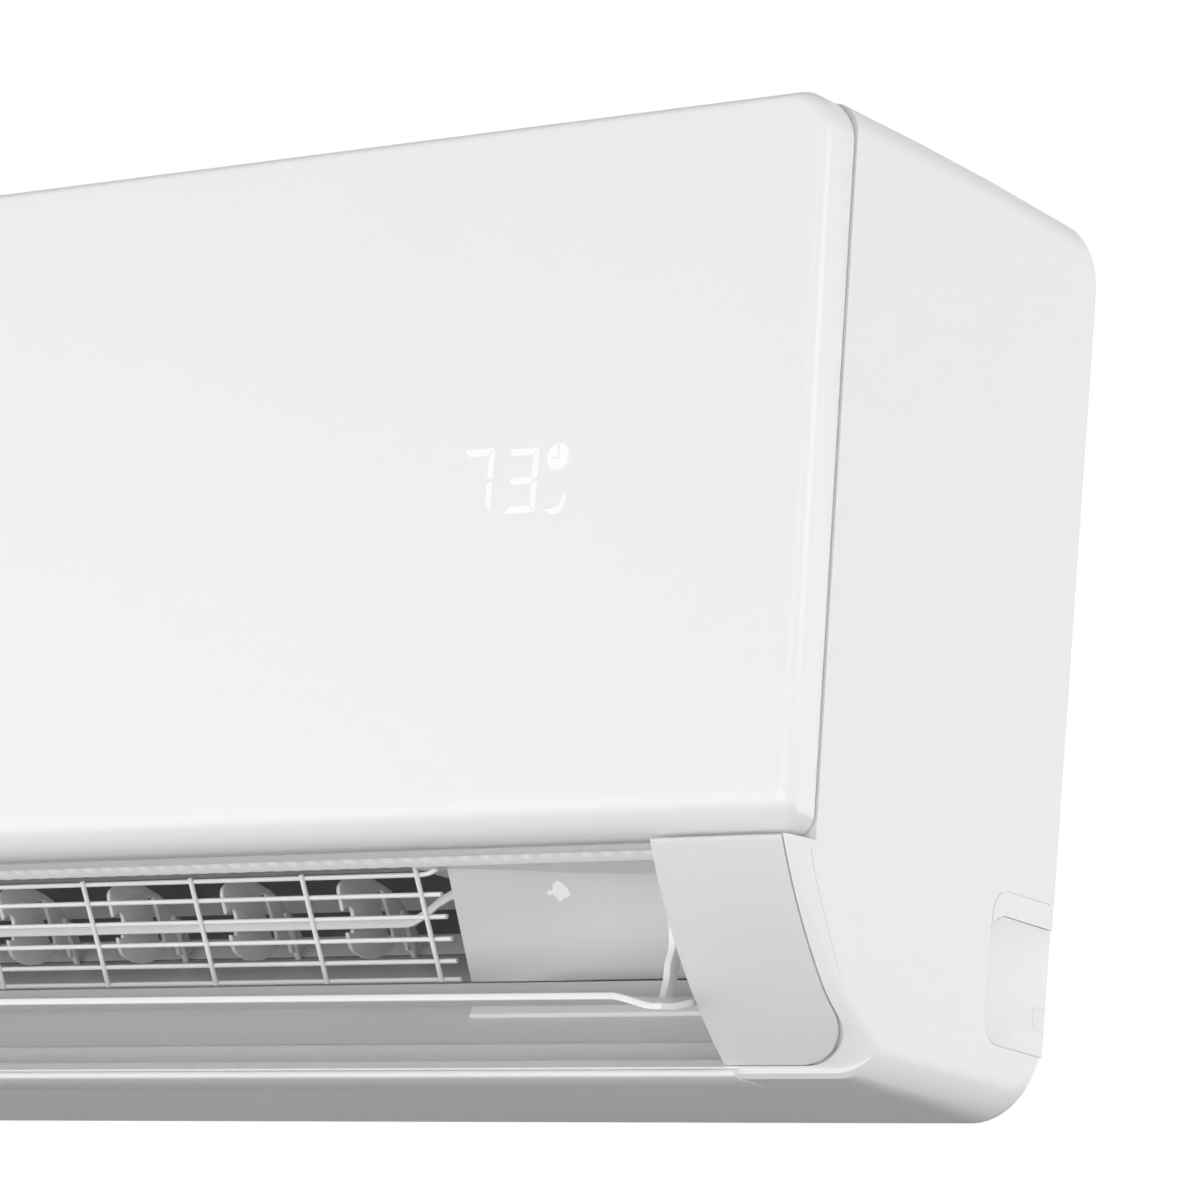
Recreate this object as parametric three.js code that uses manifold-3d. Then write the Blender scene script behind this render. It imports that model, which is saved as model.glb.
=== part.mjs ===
// Indoor unit of a mini split air conditioner, hung on a steel wall plate.
// Millimetres. +X is the unit's right end seen from the front, -Y its front, +Z up.
// The wall is the plane Y = 0, and the origin is the middle of the wall plate's rear face.
import * as THREE from "three";
import { mergeVertices } from "three/addons/utils/BufferGeometryUtils.js";
import Module from "manifold-3d";

const wasm = await Module();
wasm.setup();

// ---- Driving dimensions ----
const HALF_WIDTH = 400;
const WALL_GAP = 2; // the casing's rear rim stands this far off the wall
const TOP_Z = 149;
const BOTTOM_Z = -146.2;
const WALL = 2.5; // moulded wall thickness
const GAP = 0.4; // clearance between two pieces that meet

const PANEL_THICK = 16;
const PANEL_BOTTOM_Z = -77;
const PANEL_SEAM_Y = -138.6; // rear rim of the panel at mid height
const PANEL_LEAN = 0.0321; // the top of the panel stands further out than its bottom
const PANEL_HINGE_R = 5; // round at the panel's upper rear edge, centred on its hinge
const PANEL_OPEN = 60;

const FRONT_TOP = [-149.3, -78]; // the curved lower front starts here, under the panel
const FRONT_LOW = [-99.5, -140.8]; // and ends here, at the lip
const FRONT_RISE = 4.6; // how far it bulges out from its chord
const FRONT_RADIUS = 176.9;

const COVER_INNER_X = 348.3; // the end covers run from here to just inside the side faces
const COVER_OUTER_X = 396.8;
const COVER_THICK = 2;

const PIVOT = [-108.5, -95.9]; // louver axis
const TROUGH_CENTRE = [-110.4, -94.7]; // the outlet floor's round is struck from here
const LOUVER_OPEN = 64.3;
const LOUVER_END_X = 347.5;
const LOUVER_THICK = 2.2;
const TROUGH_RADIUS = 50.5; // the outlet floor follows the swing of the louver's rear edge

const DUCT_LEFT_X = -330;
const DUCT_RIGHT_X = 251;
const VANE_PITCH = 50;
const VANE_COUNT = 10;
const VANE_RIGHT_X = 175;
const VANE_THICK = 1.6;
const VANE_FOOT = [-41, -91.4]; // lower end of a vane's pivot rib
const VANE_AXIS = [-0.577, 0.817]; // direction of that rib in the Y-Z plane
const LINK = [-76.9, -89]; // middle of the link bar's section
const CRANK_X = 270;

const FAN = [-66, 2]; // axis of the cross-flow fan
const FAN_RADIUS = 40.5;
const FAN_LEFT_X = -322;
const FAN_RIGHT_X = 243;
const FAN_BLADES = 18;
const SHAFT_RADIUS = 4;

const WIRE = 0.85; // radius of the guard's wires
const GUARD_TOP = [-122, -80.9];
const GUARD_LOW = [-103.6, -113.2];
const GUARD_RIGHT_X = 239.2;
const GUARD_UPRIGHTS = 13;
const GUARD_PITCH = 46.7;

const FILTER_SPAN = [
  [-330, -48],
  [-44, 238],
];
const FILTER_LIFT_Y = -132.6;

// ---- Shape helpers ----
const radians = THREE.MathUtils.degToRad;
const lerp = THREE.MathUtils.lerp;

function solid(geometry) {
  const bare = geometry.index ? geometry.toNonIndexed() : geometry.clone();
  bare.deleteAttribute("normal");
  bare.deleteAttribute("uv");
  const merged = mergeVertices(bare, 1e-4);
  return new wasm.Manifold(
    new wasm.Mesh({
      numProp: 3,
      vertProperties: merged.attributes.position.array,
      triVerts: new Uint32Array(merged.index.array),
    }),
  );
}

const join = (...solids) => solids.reduce((all, next) => all.add(next));
const cut = (from, ...tools) => tools.reduce((left, tool) => left.subtract(tool), from);

function prism(points, depth, xAxis, yAxis, zAxis, origin) {
  const outline = new THREE.Shape(points.map(([a, b]) => new THREE.Vector2(a, b)));
  const geometry = new THREE.ExtrudeGeometry(outline, { depth, bevelEnabled: false });
  const place = new THREE.Matrix4().makeBasis(xAxis, yAxis, zAxis).setPosition(...origin);
  return solid(geometry.applyMatrix4(place));
}

const X = new THREE.Vector3(1, 0, 0);
const Y = new THREE.Vector3(0, 1, 0);
const Z = new THREE.Vector3(0, 0, 1);

// An outline in (Y, Z), (X, Z) or (X, Y) carried along the third axis.
const alongX = (points, x0, x1) => prism(points, x1 - x0, Y, Z, X, [x0, 0, 0]);
const alongY = (points, y0, y1) => prism(points, y1 - y0, X, Z, Y.clone().negate(), [0, y1, 0]);
const alongZ = (points, z0, z1) => prism(points, z1 - z0, X, Y, Z, [0, 0, z0]);

function block(x0, x1, y0, y1, z0, z1) {
  const box = new THREE.BoxGeometry(x1 - x0, y1 - y0, z1 - z0);
  return solid(box.translate((x0 + x1) / 2, (y0 + y1) / 2, (z0 + z1) / 2));
}

function rod(from, to, radius, sides = 16) {
  const a = new THREE.Vector3(...from);
  const b = new THREE.Vector3(...to);
  const way = b.clone().sub(a);
  const geometry = new THREE.CylinderGeometry(radius, radius, way.length(), sides);
  geometry.applyQuaternion(new THREE.Quaternion().setFromUnitVectors(Y, way.clone().normalize()));
  const middle = a.add(b).multiplyScalar(0.5);
  return solid(geometry.translate(middle.x, middle.y, middle.z));
}

const rodX = (y, z, radius, x0, x1, sides = 16) => rod([x0, y, z], [x1, y, z], radius, sides);

// Points of an arc about a centre, angles in degrees counter-clockwise from the first axis.
function arc([a, b], radius, from, to, steps) {
  const points = [];
  for (let i = 0; i <= steps; i++) {
    const angle = radians(lerp(from, to, i / steps));
    points.push([a + radius * Math.cos(angle), b + radius * Math.sin(angle)]);
  }
  return points;
}

// A band of even thickness on the left of a polyline.
function band(points, thickness) {
  const side = points.map((point, i) => {
    const before = points[Math.max(i - 1, 0)];
    const after = points[Math.min(i + 1, points.length - 1)];
    const run = [after[0] - before[0], after[1] - before[1]];
    const length = Math.hypot(...run);
    const turn = [-run[1] / length, run[0] / length];
    return [point[0] + turn[0] * thickness, point[1] + turn[1] * thickness];
  });
  return [...points, ...side.reverse()];
}

function turned(points, [a, b], degrees) {
  const c = Math.cos(radians(degrees));
  const s = Math.sin(radians(degrees));
  return points.map(([y, z]) => [a + (y - a) * c - (z - b) * s, b + (y - a) * s + (z - b) * c]);
}

function roundedBox(x0, x1, z0, z1, [topLeft, topRight, lowRight, lowLeft]) {
  return [
    ...arc([x1 - topRight, z1 - topRight], topRight, 0, 90, 4),
    ...arc([x0 + topLeft, z1 - topLeft], topLeft, 90, 180, 4),
    ...arc([x0 + lowLeft, z0 + lowLeft], lowLeft, 180, 270, 4),
    ...arc([x1 - lowRight, z0 + lowRight], lowRight, 270, 360, 4),
  ];
}

// Sections {x, points} with the same number of points, joined into one closed skin.
function loft(rows) {
  const clockwise = rows[0].points.reduce((sum, [y, z], i, all) => {
    const [nextY, nextZ] = all[(i + 1) % all.length];
    return sum + y * nextZ - nextY * z;
  }, 0) < 0;
  const sections = rows.map(({ x, points }) => ({
    x,
    points: clockwise ? points.toReversed() : points,
  }));
  const count = sections[0].points.length;
  const corners = [];
  const faces = [];
  sections.forEach(({ x, points }) => points.forEach(([y, z]) => corners.push([x, y, z])));
  for (let s = 0; s + 1 < sections.length; s++) {
    for (let i = 0; i < count; i++) {
      const a = s * count + i;
      const b = s * count + ((i + 1) % count);
      faces.push([a, b, b + count], [a, b + count, a + count]);
    }
  }
  const capped = (section) =>
    THREE.ShapeUtils.triangulateShape(
      section.points.map(([y, z]) => new THREE.Vector2(y, z)),
      [],
    );
  const last = (sections.length - 1) * count;
  capped(sections[0]).forEach(([a, b, c]) => faces.push([a, c, b]));
  capped(sections.at(-1)).forEach(([a, b, c]) => faces.push([a + last, b + last, c + last]));
  const geometry = new THREE.BufferGeometry();
  geometry.setAttribute("position", new THREE.Float32BufferAttribute(corners.flat(), 3));
  geometry.setIndex(faces.flat());
  return solid(geometry);
}

const both = (make) => [make(1), make(-1)];
const mirrored = (body) => body.mirror([1, 0, 0]);

// ---- Materials ----
const finish = (color, roughness, metalness = 0) =>
  new THREE.MeshStandardMaterial({ color, roughness, metalness });
const white = finish(0xeeeeee, 0.42);
const silver = finish(0xd6d8da, 0.38);
const paleGrey = finish(0xc4c6c8, 0.5);
const darkGrey = finish(0x3c3e40, 0.55);
const steel = finish(0xb8bcc0, 0.4, 0.8);
const fins = finish(0xc9d2d8, 0.45, 0.7);
const copper = finish(0xb8734a, 0.35, 0.9);
const brass = finish(0xc9a85a, 0.35, 0.9);
const board = finish(0x2c6b45, 0.6);
const rubber = finish(0x26282a, 0.8);
const mesh = finish(0x5c6a72, 0.7);

const unit = new THREE.Group();

function piece(name, body, material) {
  const made = body.getMesh();
  const geometry = new THREE.BufferGeometry();
  geometry.setAttribute("position", new THREE.BufferAttribute(made.vertProperties, 3));
  geometry.setIndex(new THREE.BufferAttribute(made.triVerts, 1));
  geometry.computeVertexNormals();
  const node = new THREE.Mesh(geometry, material);
  node.name = name;
  unit.add(node);
}

// ---- Outlines shared by several pieces ----
const seamY = (z) => PANEL_SEAM_Y - PANEL_LEAN * z;
const HINGE = [seamY(TOP_Z - PANEL_HINGE_R) - PANEL_HINGE_R, TOP_Z - PANEL_HINGE_R];

const frontCentre = (() => {
  const run = [FRONT_LOW[0] - FRONT_TOP[0], FRONT_LOW[1] - FRONT_TOP[1]];
  const length = Math.hypot(...run);
  const inward = [-run[1] / length, run[0] / length];
  const reach = FRONT_RADIUS - FRONT_RISE;
  const middle = [(FRONT_TOP[0] + FRONT_LOW[0]) / 2, (FRONT_TOP[1] + FRONT_LOW[1]) / 2];
  return [middle[0] + inward[0] * reach, middle[1] + inward[1] * reach];
})();

// The lower front's arc: t = 0 under the panel, t = 1 at the lip, moved inwards by inset.
function frontPoint(t, inset) {
  const angleOf = ([y, z]) => Math.atan2(z - frontCentre[1], y - frontCentre[0]) + 2 * Math.PI;
  const angle = lerp(angleOf(FRONT_TOP), angleOf(FRONT_LOW), t);
  const radius = FRONT_RADIUS - inset;
  return [frontCentre[0] + radius * Math.cos(angle), frontCentre[1] + radius * Math.sin(angle)];
}

const frontArc = (t0, t1, inset, steps) =>
  Array.from({ length: steps + 1 }, (_, i) => frontPoint(lerp(t0, t1, i / steps), inset));

// Outlet floor: a quarter of the trough about the louver's axis. 0 degrees points down.
const trough = (from, to, radius, steps) => arc(TROUGH_CENTRE, radius, from - 90, to - 90, steps);

// Side outline of the casing at a distance in from its side face, drawn inwards by inset.
function casingOutline(inFromSide, inset) {
  const roll = (radius, reach) => {
    const left = 1 - Math.min(inFromSide, reach) / reach;
    return radius * (1 - Math.sqrt(1 - left * left));
  };
  const drop = roll(15, 15) + inset;
  const lift = roll(14, 14);
  const tuck = roll(9, 3);
  const lipLift = Math.max(tuck, roll(11, 11));
  const rearLow = -126.2 + lift;
  const lowCorner = arc([-22, rearLow], 20 - inset, 270, 360, 5);
  const highCorner = arc([-13, 135.5 - (drop - inset)], 11 - inset, 0, 90, 4);
  const openRear = inset
    ? [
        [6, rearLow + 3],
        [6, 135.5 - drop],
      ]
    : [];
  const nose = Array.from({ length: 8 }, (_, i) => {
    const t = inset ? lerp(0.26, 0.97, i / 7) : lerp(tuck / 160, 1, i / 7);
    const blend = THREE.MathUtils.smoothstep(t, 0.6, 1);
    return frontPoint(t, lerp(tuck, lipLift, blend) + (inset ? inset + 2.3 : 0));
  });
  const lip = inset
    ? [[-93 + 0.62 * lipLift, -141.2 + 0.9 * lipLift]]
    : [
        [-100 + 0.62 * lipLift, -142.2 + 0.9 * lipLift],
        [-98 + 0.62 * lipLift, -143.5 + 0.98 * lipLift],
      ];
  return [
    ...lowCorner,
    ...openRear,
    ...highCorner,
    [-60, 148.3 - drop],
    [-100, TOP_Z - drop],
    [seamY(TOP_Z - drop) + GAP + inset, TOP_Z - drop],
    [seamY(-76) + GAP + inset, PANEL_BOTTOM_Z - (inset ? 0 : 0.8)],
    ...nose,
    ...lip,
  ];
}

const SIDE_STEPS = [0, 0.8, 3, 7, 15];

function casingSkin(halfWidth, inset) {
  const rows = SIDE_STEPS.map((d) => ({ x: halfWidth - d, points: casingOutline(d, inset) }));
  const right = rows.map(({ x, points }) => ({ x, points })).reverse();
  const left = rows.map(({ x, points }) => ({ x: -x, points }));
  return loft([...left, ...right]);
}

// ---- Front casing ----
const KNOCKOUT = { y0: -37, z0: -123, z1: -83, radius: 8 };

const knockoutOutline = (grow) => {
  const { y0, z0, z1, radius } = KNOCKOUT;
  return [
    [5, z0 - grow],
    [5, z1 + grow],
    ...arc([y0 + radius, z1 - radius], radius + grow, 90, 180, 4),
    ...arc([y0 + radius, z0 + radius], radius + grow, 180, 270, 4),
  ];
};

const coverFront = (grow) =>
  roundedBox(COVER_INNER_X - grow, COVER_OUTER_X + grow, -139.6 - grow, -70, [0.01, 0.01, 12, 0.01]);

function inletGrille() {
  const bars = [];
  const x0 = -338;
  const x1 = 246;
  const count = 15;
  for (let i = 0; i < count; i++) {
    const x = lerp(x0, x1, (i + 0.5) / count);
    bars.push(block(x - 1, x + 1, -128, -21.5, 138.5, 141.4));
  }
  const rails = [-129, -76, -23].map((y) => block(-343.5, 251.5, y, y + 2.5, 138, 142));
  const ends = [-345, 250].map((x) => block(x, x + 3, -131, -18, 137, 147));
  return join(...bars, ...rails, ...ends);
}

function frontCasing() {
  const shell = cut(casingSkin(HALF_WIDTH, 0), casingSkin(HALF_WIDTH - WALL, WALL));
  const lip = [
    [-101.6, -141],
    [-93, -139.8],
    ...trough(30, 45, TROUGH_RADIUS, 3),
    ...trough(45, 34, TROUGH_RADIUS + 2, 2),
    [-84, -144.4],
    [-101.4, -143.4],
  ];
  const outlet = [
    [-170, -76.6],
    [-144.8, -76.6],
    [-131.5, -79.4],
    [-100, -100],
    [-96, -137],
    [-101.6, -141],
    [-170, -141],
  ];
  const frontOpening = roundedBox(-352, 352, -52, 118, [8, 8, 8, 8]);
  const inlet = block(-342, 250, -136.5, -20, 130, 160);
  const pockets = both((side) => {
    const shape = band(frontArc(-0.02, 1, -3, 6), COVER_THICK + 3.3);
    const pocket = alongX(shape, COVER_INNER_X - 2, HALF_WIDTH + 1).intersect(
      alongY(coverFront(0.3), -170, -80),
    );
    return side > 0 ? pocket : mirrored(pocket);
  });
  const windows = both((side) => {
    const window = alongX(knockoutOutline(0.3), 390, 405);
    return side > 0 ? window : mirrored(window);
  });
  const screwHoles = both((side) =>
    join(
      rod([side * 372, -130, -120], [side * 372, -113.4, -120], 3.6, 12),
      rod([side * 372, -130, -120], [side * 372, -100, -120], 2.4, 12),
    ),
  );
  const bosses = [1, -1].map((side) =>
    rod([side * 372, -117, -120], [side * 372, -111, -120], 5.5, 12),
  );
  const hingeArms = both((side) => {
    const arm = join(
      block(385, 389, -149.6, -135, 138.6, 141.7),
      block(385, 389, -149.8, -146.7, 140, 144),
      rodX(...HINGE, 2.4, 385, 389, 12),
      rodX(...HINGE, 1.2, 388, 392.4, 10),
    );
    return side > 0 ? arm : mirrored(arm);
  });
  const body = cut(
    join(shell, alongX(lip, -353, 353), ...bosses),
    alongX(outlet, -COVER_INNER_X - 0.2, COVER_INNER_X + 0.2),
    alongY(frontOpening, -160, -125),
    inlet,
    ...pockets,
    ...windows,
    ...screwHoles,
    rod([372, -150, -30], [372, -120, -30], 4.4, 16),
  );
  return join(body, inletGrille(), ...hingeArms);
}

// ---- Hinged front panel ----
function frontPanel() {
  const rimY = (z) => seamY(z);
  const faceY = (z) => seamY(z) - PANEL_THICK;
  const outline = (inFromSide, inset) => {
    const left = 1 - Math.min(inFromSide, 5) / 5;
    const roll = 4 * (1 - Math.sqrt(1 - left * left));
    const rear = inset ? [[rimY(TOP_Z) + 8, TOP_Z - inset]] : arc(HINGE, PANEL_HINGE_R, 0, 90, 4);
    const curl = [faceY(-66) + 12 + roll, PANEL_BOTTOM_Z + 12];
    return [
      [rimY(PANEL_BOTTOM_Z) + (inset ? 8 : 0), PANEL_BOTTOM_Z + 3 + inset],
      ...rear,
      [faceY(TOP_Z) + 5 + roll, TOP_Z - inset],
      [faceY(TOP_Z) + 2.6 + roll + inset, TOP_Z - 0.8 - inset],
      [faceY(TOP_Z) + roll + inset, TOP_Z - 3.5 - inset],
      ...arc(curl, 12 - inset, 180, 262, 6),
    ];
  };
  const skin = (halfWidth, inset) => {
    const steps = [0, 0.8, 2.2, 5];
    const rows = steps.map((d) => ({ x: halfWidth - d, points: outline(d, inset) }));
    return loft([
      ...rows.map(({ x, points }) => ({ x: -x, points })),
      ...rows.map(({ x, points }) => ({ x, points })).reverse(),
    ]);
  };
  const front = roundedBox(-HALF_WIDTH, HALF_WIDTH, PANEL_BOTTOM_Z - 1, TOP_Z, [16, 16, 3, 3]);
  const shell = cut(skin(HALF_WIDTH, 0), skin(HALF_WIDTH - WALL, 2)).intersect(
    alongY(front, -180, -120),
  );
  const pads = both((side) => {
    const pad = block(390.4, 398, -155, -145.6, 138, 146.5);
    return side > 0 ? pad : mirrored(pad);
  });
  const sockets = [1, -1].map((side) =>
    rod([side * 390, ...HINGE], [side * 393, ...HINGE], 1.6, 10),
  );
  return cut(join(shell, ...pads), ...sockets);
}

// ---- End covers ----
function endCover(side) {
  const skin = band(frontArc(0.004, 0.985, 0, 10), COVER_THICK);
  const cover = alongX(skin, COVER_INNER_X, COVER_OUTER_X).intersect(
    alongY(coverFront(0), -170, -80),
  );
  return side > 0 ? cover : mirrored(cover);
}

// ---- Rear chassis with the fan scroll and the outlet floor ----
const SCROLL = [
  [-21, 62],
  [-16, 40],
  [-15, 10],
  [-17, -20],
  [-21, -45],
  [-27, -66],
  [-33.5, -83],
  [-38.2, -93.2],
  [-46, -96],
  [-55, -101.4],
];

function rearChassis() {
  const floor = trough(75, 48, TROUGH_RADIUS, 5);
  const scroll = join(
    alongX(band([...SCROLL, ...floor], WALL), -333.5, 254.5),
    alongX(band([SCROLL.at(-2), SCROLL.at(-1), ...floor], WALL), -352, 352),
  );
  const backPlate = block(-392, 392, -9, -6, -86, 131);
  const rims = [
    block(-392, -389, -40, -6, -86, 131),
    block(389, 392, -40, -6, -86, 131),
    block(-392, 392, -9, -2.6, 128, 131),
    block(-392, 392, -9, -2.6, -86, -83),
  ];
  const scrollTies = [-300, -100, 100, 300].map((x) => block(x, x + 3, -17, -7, -60, 60));
  const gutter = alongX(
    [
      [-20, 57],
      [-19.5, 61],
      [-37, 51],
      [-40, 56],
      [-42, 55.2],
      [-39.6, 47.4],
    ],
    -330,
    240,
  );
  const endWall = (x) =>
    alongX(
      [
        [-19, 52],
        [-14, 10],
        [-16, -30],
        [-22, -56],
        [-58, -56],
        [-96, -34],
        [-96, 20],
        [-80, 46],
        [-44, 50],
      ],
      x,
      x + WALL,
    );
  const cradle = (x) =>
    alongX(
      [
        [-100, -52],
        [-20, -52],
        [-7, -20],
        [-7, 2],
        ...arc(FAN, 39.4, 0, -180, 10),
        [-110, 2],
        [-110, -30],
      ],
      x,
      x + 3,
    );
  const cradleBase = block(283, 323, -100, -32, -55, -51.5);
  const hookWindows = [-150, 150].map((x) => block(x - 12, x + 12, -12, -3, 84, 92));
  const shaftHoles = [
    rodX(...FAN, 7, 240, 262, 16),
    rodX(...FAN, 10.5, -340, -325, 16),
  ];
  const pinHoles = vanePlaces().map((x) =>
    rod(vanePoint(x, -4.2), vanePoint(x, 3), 1.7, 6),
  );
  const body = join(
    scroll,
    backPlate,
    ...rims,
    ...scrollTies,
    gutter,
    endWall(252),
    endWall(-333.5),
    cradle(283),
    cradle(320),
    cradleBase,
  );
  return cut(body, ...hookWindows, ...shaftHoles, ...pinHoles);
}

// ---- Outlet body: drain pan, duct ceiling, flared end and end walls ----
function flaredWall() {
  const row = (x) => {
    const t = THREE.MathUtils.smoothstep(x, DUCT_RIGHT_X, 318);
    const top = [lerp(-122.3, -104, t), -79.5];
    const low = [lerp(-104.4, -97, t), lerp(-113.4, -108.5, t)];
    const bulge = lerp(0, 2.5, t);
    const middle = [(top[0] + low[0]) / 2 + bulge, (top[1] + low[1]) / 2];
    return { x, points: band([low, middle, top], -2) };
  };
  const xs = [DUCT_RIGHT_X, 262, 273, 284, 295, 306, 318, 350];
  return loft(xs.map(row));
}

function outletBody() {
  const pan = alongX(
    [
      [-132.6, -50],
      [-131.4, -50],
      [-131.4, -58.5],
      [-108, -60.5],
      [-101, -50],
      [-99.6, -39],
      [-97.4, -37],
      [-96.4, -41],
      [-99, -53],
      [-108, -64],
      [-119, -73.5],
      [-127, -79.4],
      [-129.5, -78.4],
      [-132.6, -73.4],
    ],
    -349.5,
    262,
  );
  const shelf = alongX(
    [
      [-132.6, -73.4],
      [-132.6, -70],
      [-95, -74],
      [-95, -80.5],
      [-127, -80.5],
      [-129.5, -78.4],
    ],
    240,
    352,
  );
  const endShape = [
    [-128, -73],
    [-95, -73],
    [-62, -84],
    [-58, -98],
    ...trough(74, 32, TROUGH_RADIUS - 1.2, 6),
    [-96, -134],
    ...frontArc(0.9, 0.3, 6, 5),
    [-131.4, -79.4],
  ];
  const endWalls = both((side) => {
    const wall = join(
      alongX(endShape, 349.5, 352),
      rod([372, -109.4, -120], [372, -96, -120], 5, 12),
      block(351, 372, -109, -98, -122, -118),
    );
    const drilled = cut(
      wall,
      rod([372, -120, -120], [372, -98, -120], 2.4, 12),
      rodX(...PIVOT, 3.4, 345, 356, 16),
    );
    return side > 0 ? drilled : mirrored(drilled);
  });
  const leftWall = alongX(
    band(
      [
        [-97, -108.5],
        [-98, -94],
        [-104, -76],
      ],
      -2,
    ),
    -350.5,
    -328,
  );
  const bushHole = rodX(...PIVOT, 5.2, -356, -345, 16);
  const guardSockets = [0, 6, 12].map((k) => {
    const x = GUARD_RIGHT_X - k * GUARD_PITCH;
    return block(x - 1.5, x + 1.5, -127, -118, -81, -76);
  });
  const spouts = [
    rodX(-120, -57.2, 6, -362, -349, 14),
    rodX(-120, -57.2, 6, 261, 272, 14),
  ];
  const spoutBores = [
    rodX(-120, -57.2, 4.2, -370, -340, 12),
    rodX(-120, -57.2, 4.2, 250, 280, 12),
  ];
  const body = join(pan, shelf, flaredWall(), ...endWalls, leftWall, ...spouts);
  return cut(body, bushHole, ...guardSockets, ...spoutBores);
}

// ---- Guard of welded wires across the outlet ----
function wireGuard() {
  const at = (t, lift) => [
    lerp(GUARD_TOP[0], GUARD_LOW[0], t) - lift,
    lerp(GUARD_TOP[1], GUARD_LOW[1], t),
  ];
  const left = GUARD_RIGHT_X - (GUARD_UPRIGHTS - 1) * GUARD_PITCH - 4;
  const right = GUARD_RIGHT_X + 11.5;
  const levels = [0.03, 0.21, 0.41, 0.61, 0.81, 0.975];
  const rails = levels.map((t) => {
    const [y, z] = at(t, 0);
    return rodX(y, z, WIRE, left, right, 4);
  });
  const uprights = [];
  for (let k = 0; k < GUARD_UPRIGHTS; k++) {
    const x = GUARD_RIGHT_X - k * GUARD_PITCH;
    const reach = k % 6 === 0 ? -0.1 : 0;
    uprights.push(rod([x, ...at(reach, 1.1)], [x, ...at(1, 1.1)], WIRE, 4));
  }
  return join(...rails, ...uprights);
}

// ---- Swing vanes, their link bar, crank and motor ----
const vanePlaces = () => Array.from({ length: VANE_COUNT }, (_, k) => VANE_RIGHT_X - k * VANE_PITCH);

const vanePoint = (x, along) => [
  x,
  VANE_FOOT[0] + VANE_AXIS[0] * along,
  VANE_FOOT[1] + VANE_AXIS[1] * along,
];

const VANE_OUTLINE = [
  [-71.3, -72],
  [-77.5, -73],
  [-81.2, -75.3],
  [-82.8, -78.4],
  [-79.6, -85],
  [-76.4, -83],
  [-74.2, -85.2],
  [-73.6, -91.2],
  [-76.2, -91.6],
  [-73.4, -96.4],
  [-68.4, -98.1],
  [-63.3, -98.1],
  [-56.8, -96],
  [-50.1, -90.6],
  [-45.6, -89],
  [-44, -92.2],
  [-39.4, -91.2],
  [-37.4, -88.6],
  [-39.4, -86],
  [-45.3, -80.2],
  [-54.9, -74.6],
  [-64.4, -72.2],
];

const VANE_SLOT = [
  [-62.9, -76.2],
  [-60, -75.6],
  [-52.4, -88],
  [-55.2, -88.9],
];

function vane(x) {
  const half = VANE_THICK / 2;
  const blade = cut(
    alongX(VANE_OUTLINE, x - half, x + half),
    alongX(VANE_SLOT, x - 2, x + 2),
  );
  const rib = rod(vanePoint(x, 0), vanePoint(x, 15), 1.7, 6);
  const pin = rod(vanePoint(x, -3.6), vanePoint(x, 1), 1.2, 6);
  return join(blade, rib, pin);
}

const LINK_RISE = 10; // the bar steps this far along the vane axis to reach the crank
const crankEnd = [LINK[0] + VANE_AXIS[0] * LINK_RISE, LINK[1] + VANE_AXIS[1] * LINK_RISE];

function vaneLink() {
  const row = (x, t) => {
    const y = lerp(LINK[0], crankEnd[0], t);
    const z = lerp(LINK[1], crankEnd[1], t);
    return {
      x,
      points: [
        [y - 0.6, z - 1.4],
        [y + 0.6, z - 1.4],
        [y + 0.6, z + 1.4],
        [y - 0.6, z + 1.4],
      ],
    };
  };
  const left = VANE_RIGHT_X - (VANE_COUNT - 1) * VANE_PITCH - 5;
  const bend = [0, 0.15, 0.5, 0.85, 1];
  const bar = loft([
    row(left, 0),
    ...bend.map((t, i) => row(200 + i * 6.5, t)),
    row(CRANK_X - 3, 1),
  ]);
  const eye = rod(
    [CRANK_X, crankEnd[0], crankEnd[1]],
    [CRANK_X, crankEnd[0] + VANE_AXIS[0] * 2.4, crankEnd[1] + VANE_AXIS[1] * 2.4],
    3.6,
    12,
  );
  const bore = rod(
    [CRANK_X, crankEnd[0] - VANE_AXIS[0] * 4, crankEnd[1] - VANE_AXIS[1] * 4],
    [CRANK_X, crankEnd[0] + VANE_AXIS[0] * 6, crankEnd[1] + VANE_AXIS[1] * 6],
    1.8,
    12,
  );
  return cut(join(bar, eye), bore);
}

function vaneCrank() {
  // The arm lies square to the crank's axis, just past the link's eye.
  const out = [-VANE_AXIS[1], VANE_AXIS[0]];
  const reach = [crankEnd[0] - VANE_FOOT[0], crankEnd[1] - VANE_FOOT[1]];
  const throwOf = reach[0] * out[0] + reach[1] * out[1];
  const along = reach[0] * VANE_AXIS[0] + reach[1] * VANE_AXIS[1];
  const spot = (a, b) => [
    VANE_FOOT[0] + VANE_AXIS[0] * a + out[0] * b,
    VANE_FOOT[1] + VANE_AXIS[1] * a + out[1] * b,
  ];
  const seat = along + 2.9;
  const bar = [
    spot(seat, -3),
    spot(seat, throwOf + 3),
    spot(seat + 2, throwOf + 3),
    spot(seat + 2, -3),
  ];
  const arm = alongX(bar, CRANK_X - 3, CRANK_X + 3);
  const hub = rod([CRANK_X, ...spot(seat, 0)], [CRANK_X, ...spot(seat + 5, 0)], 4, 12);
  const pinLow = [CRANK_X, ...spot(along - 0.6, throwOf)];
  const pin = rod(pinLow, [CRANK_X, ...spot(seat + 1, throwOf)], 1.4, 10);
  return { body: join(arm, hub, pin), top: spot(seat + 5.4, 0), far: spot(seat + 19, 0) };
}

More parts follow.
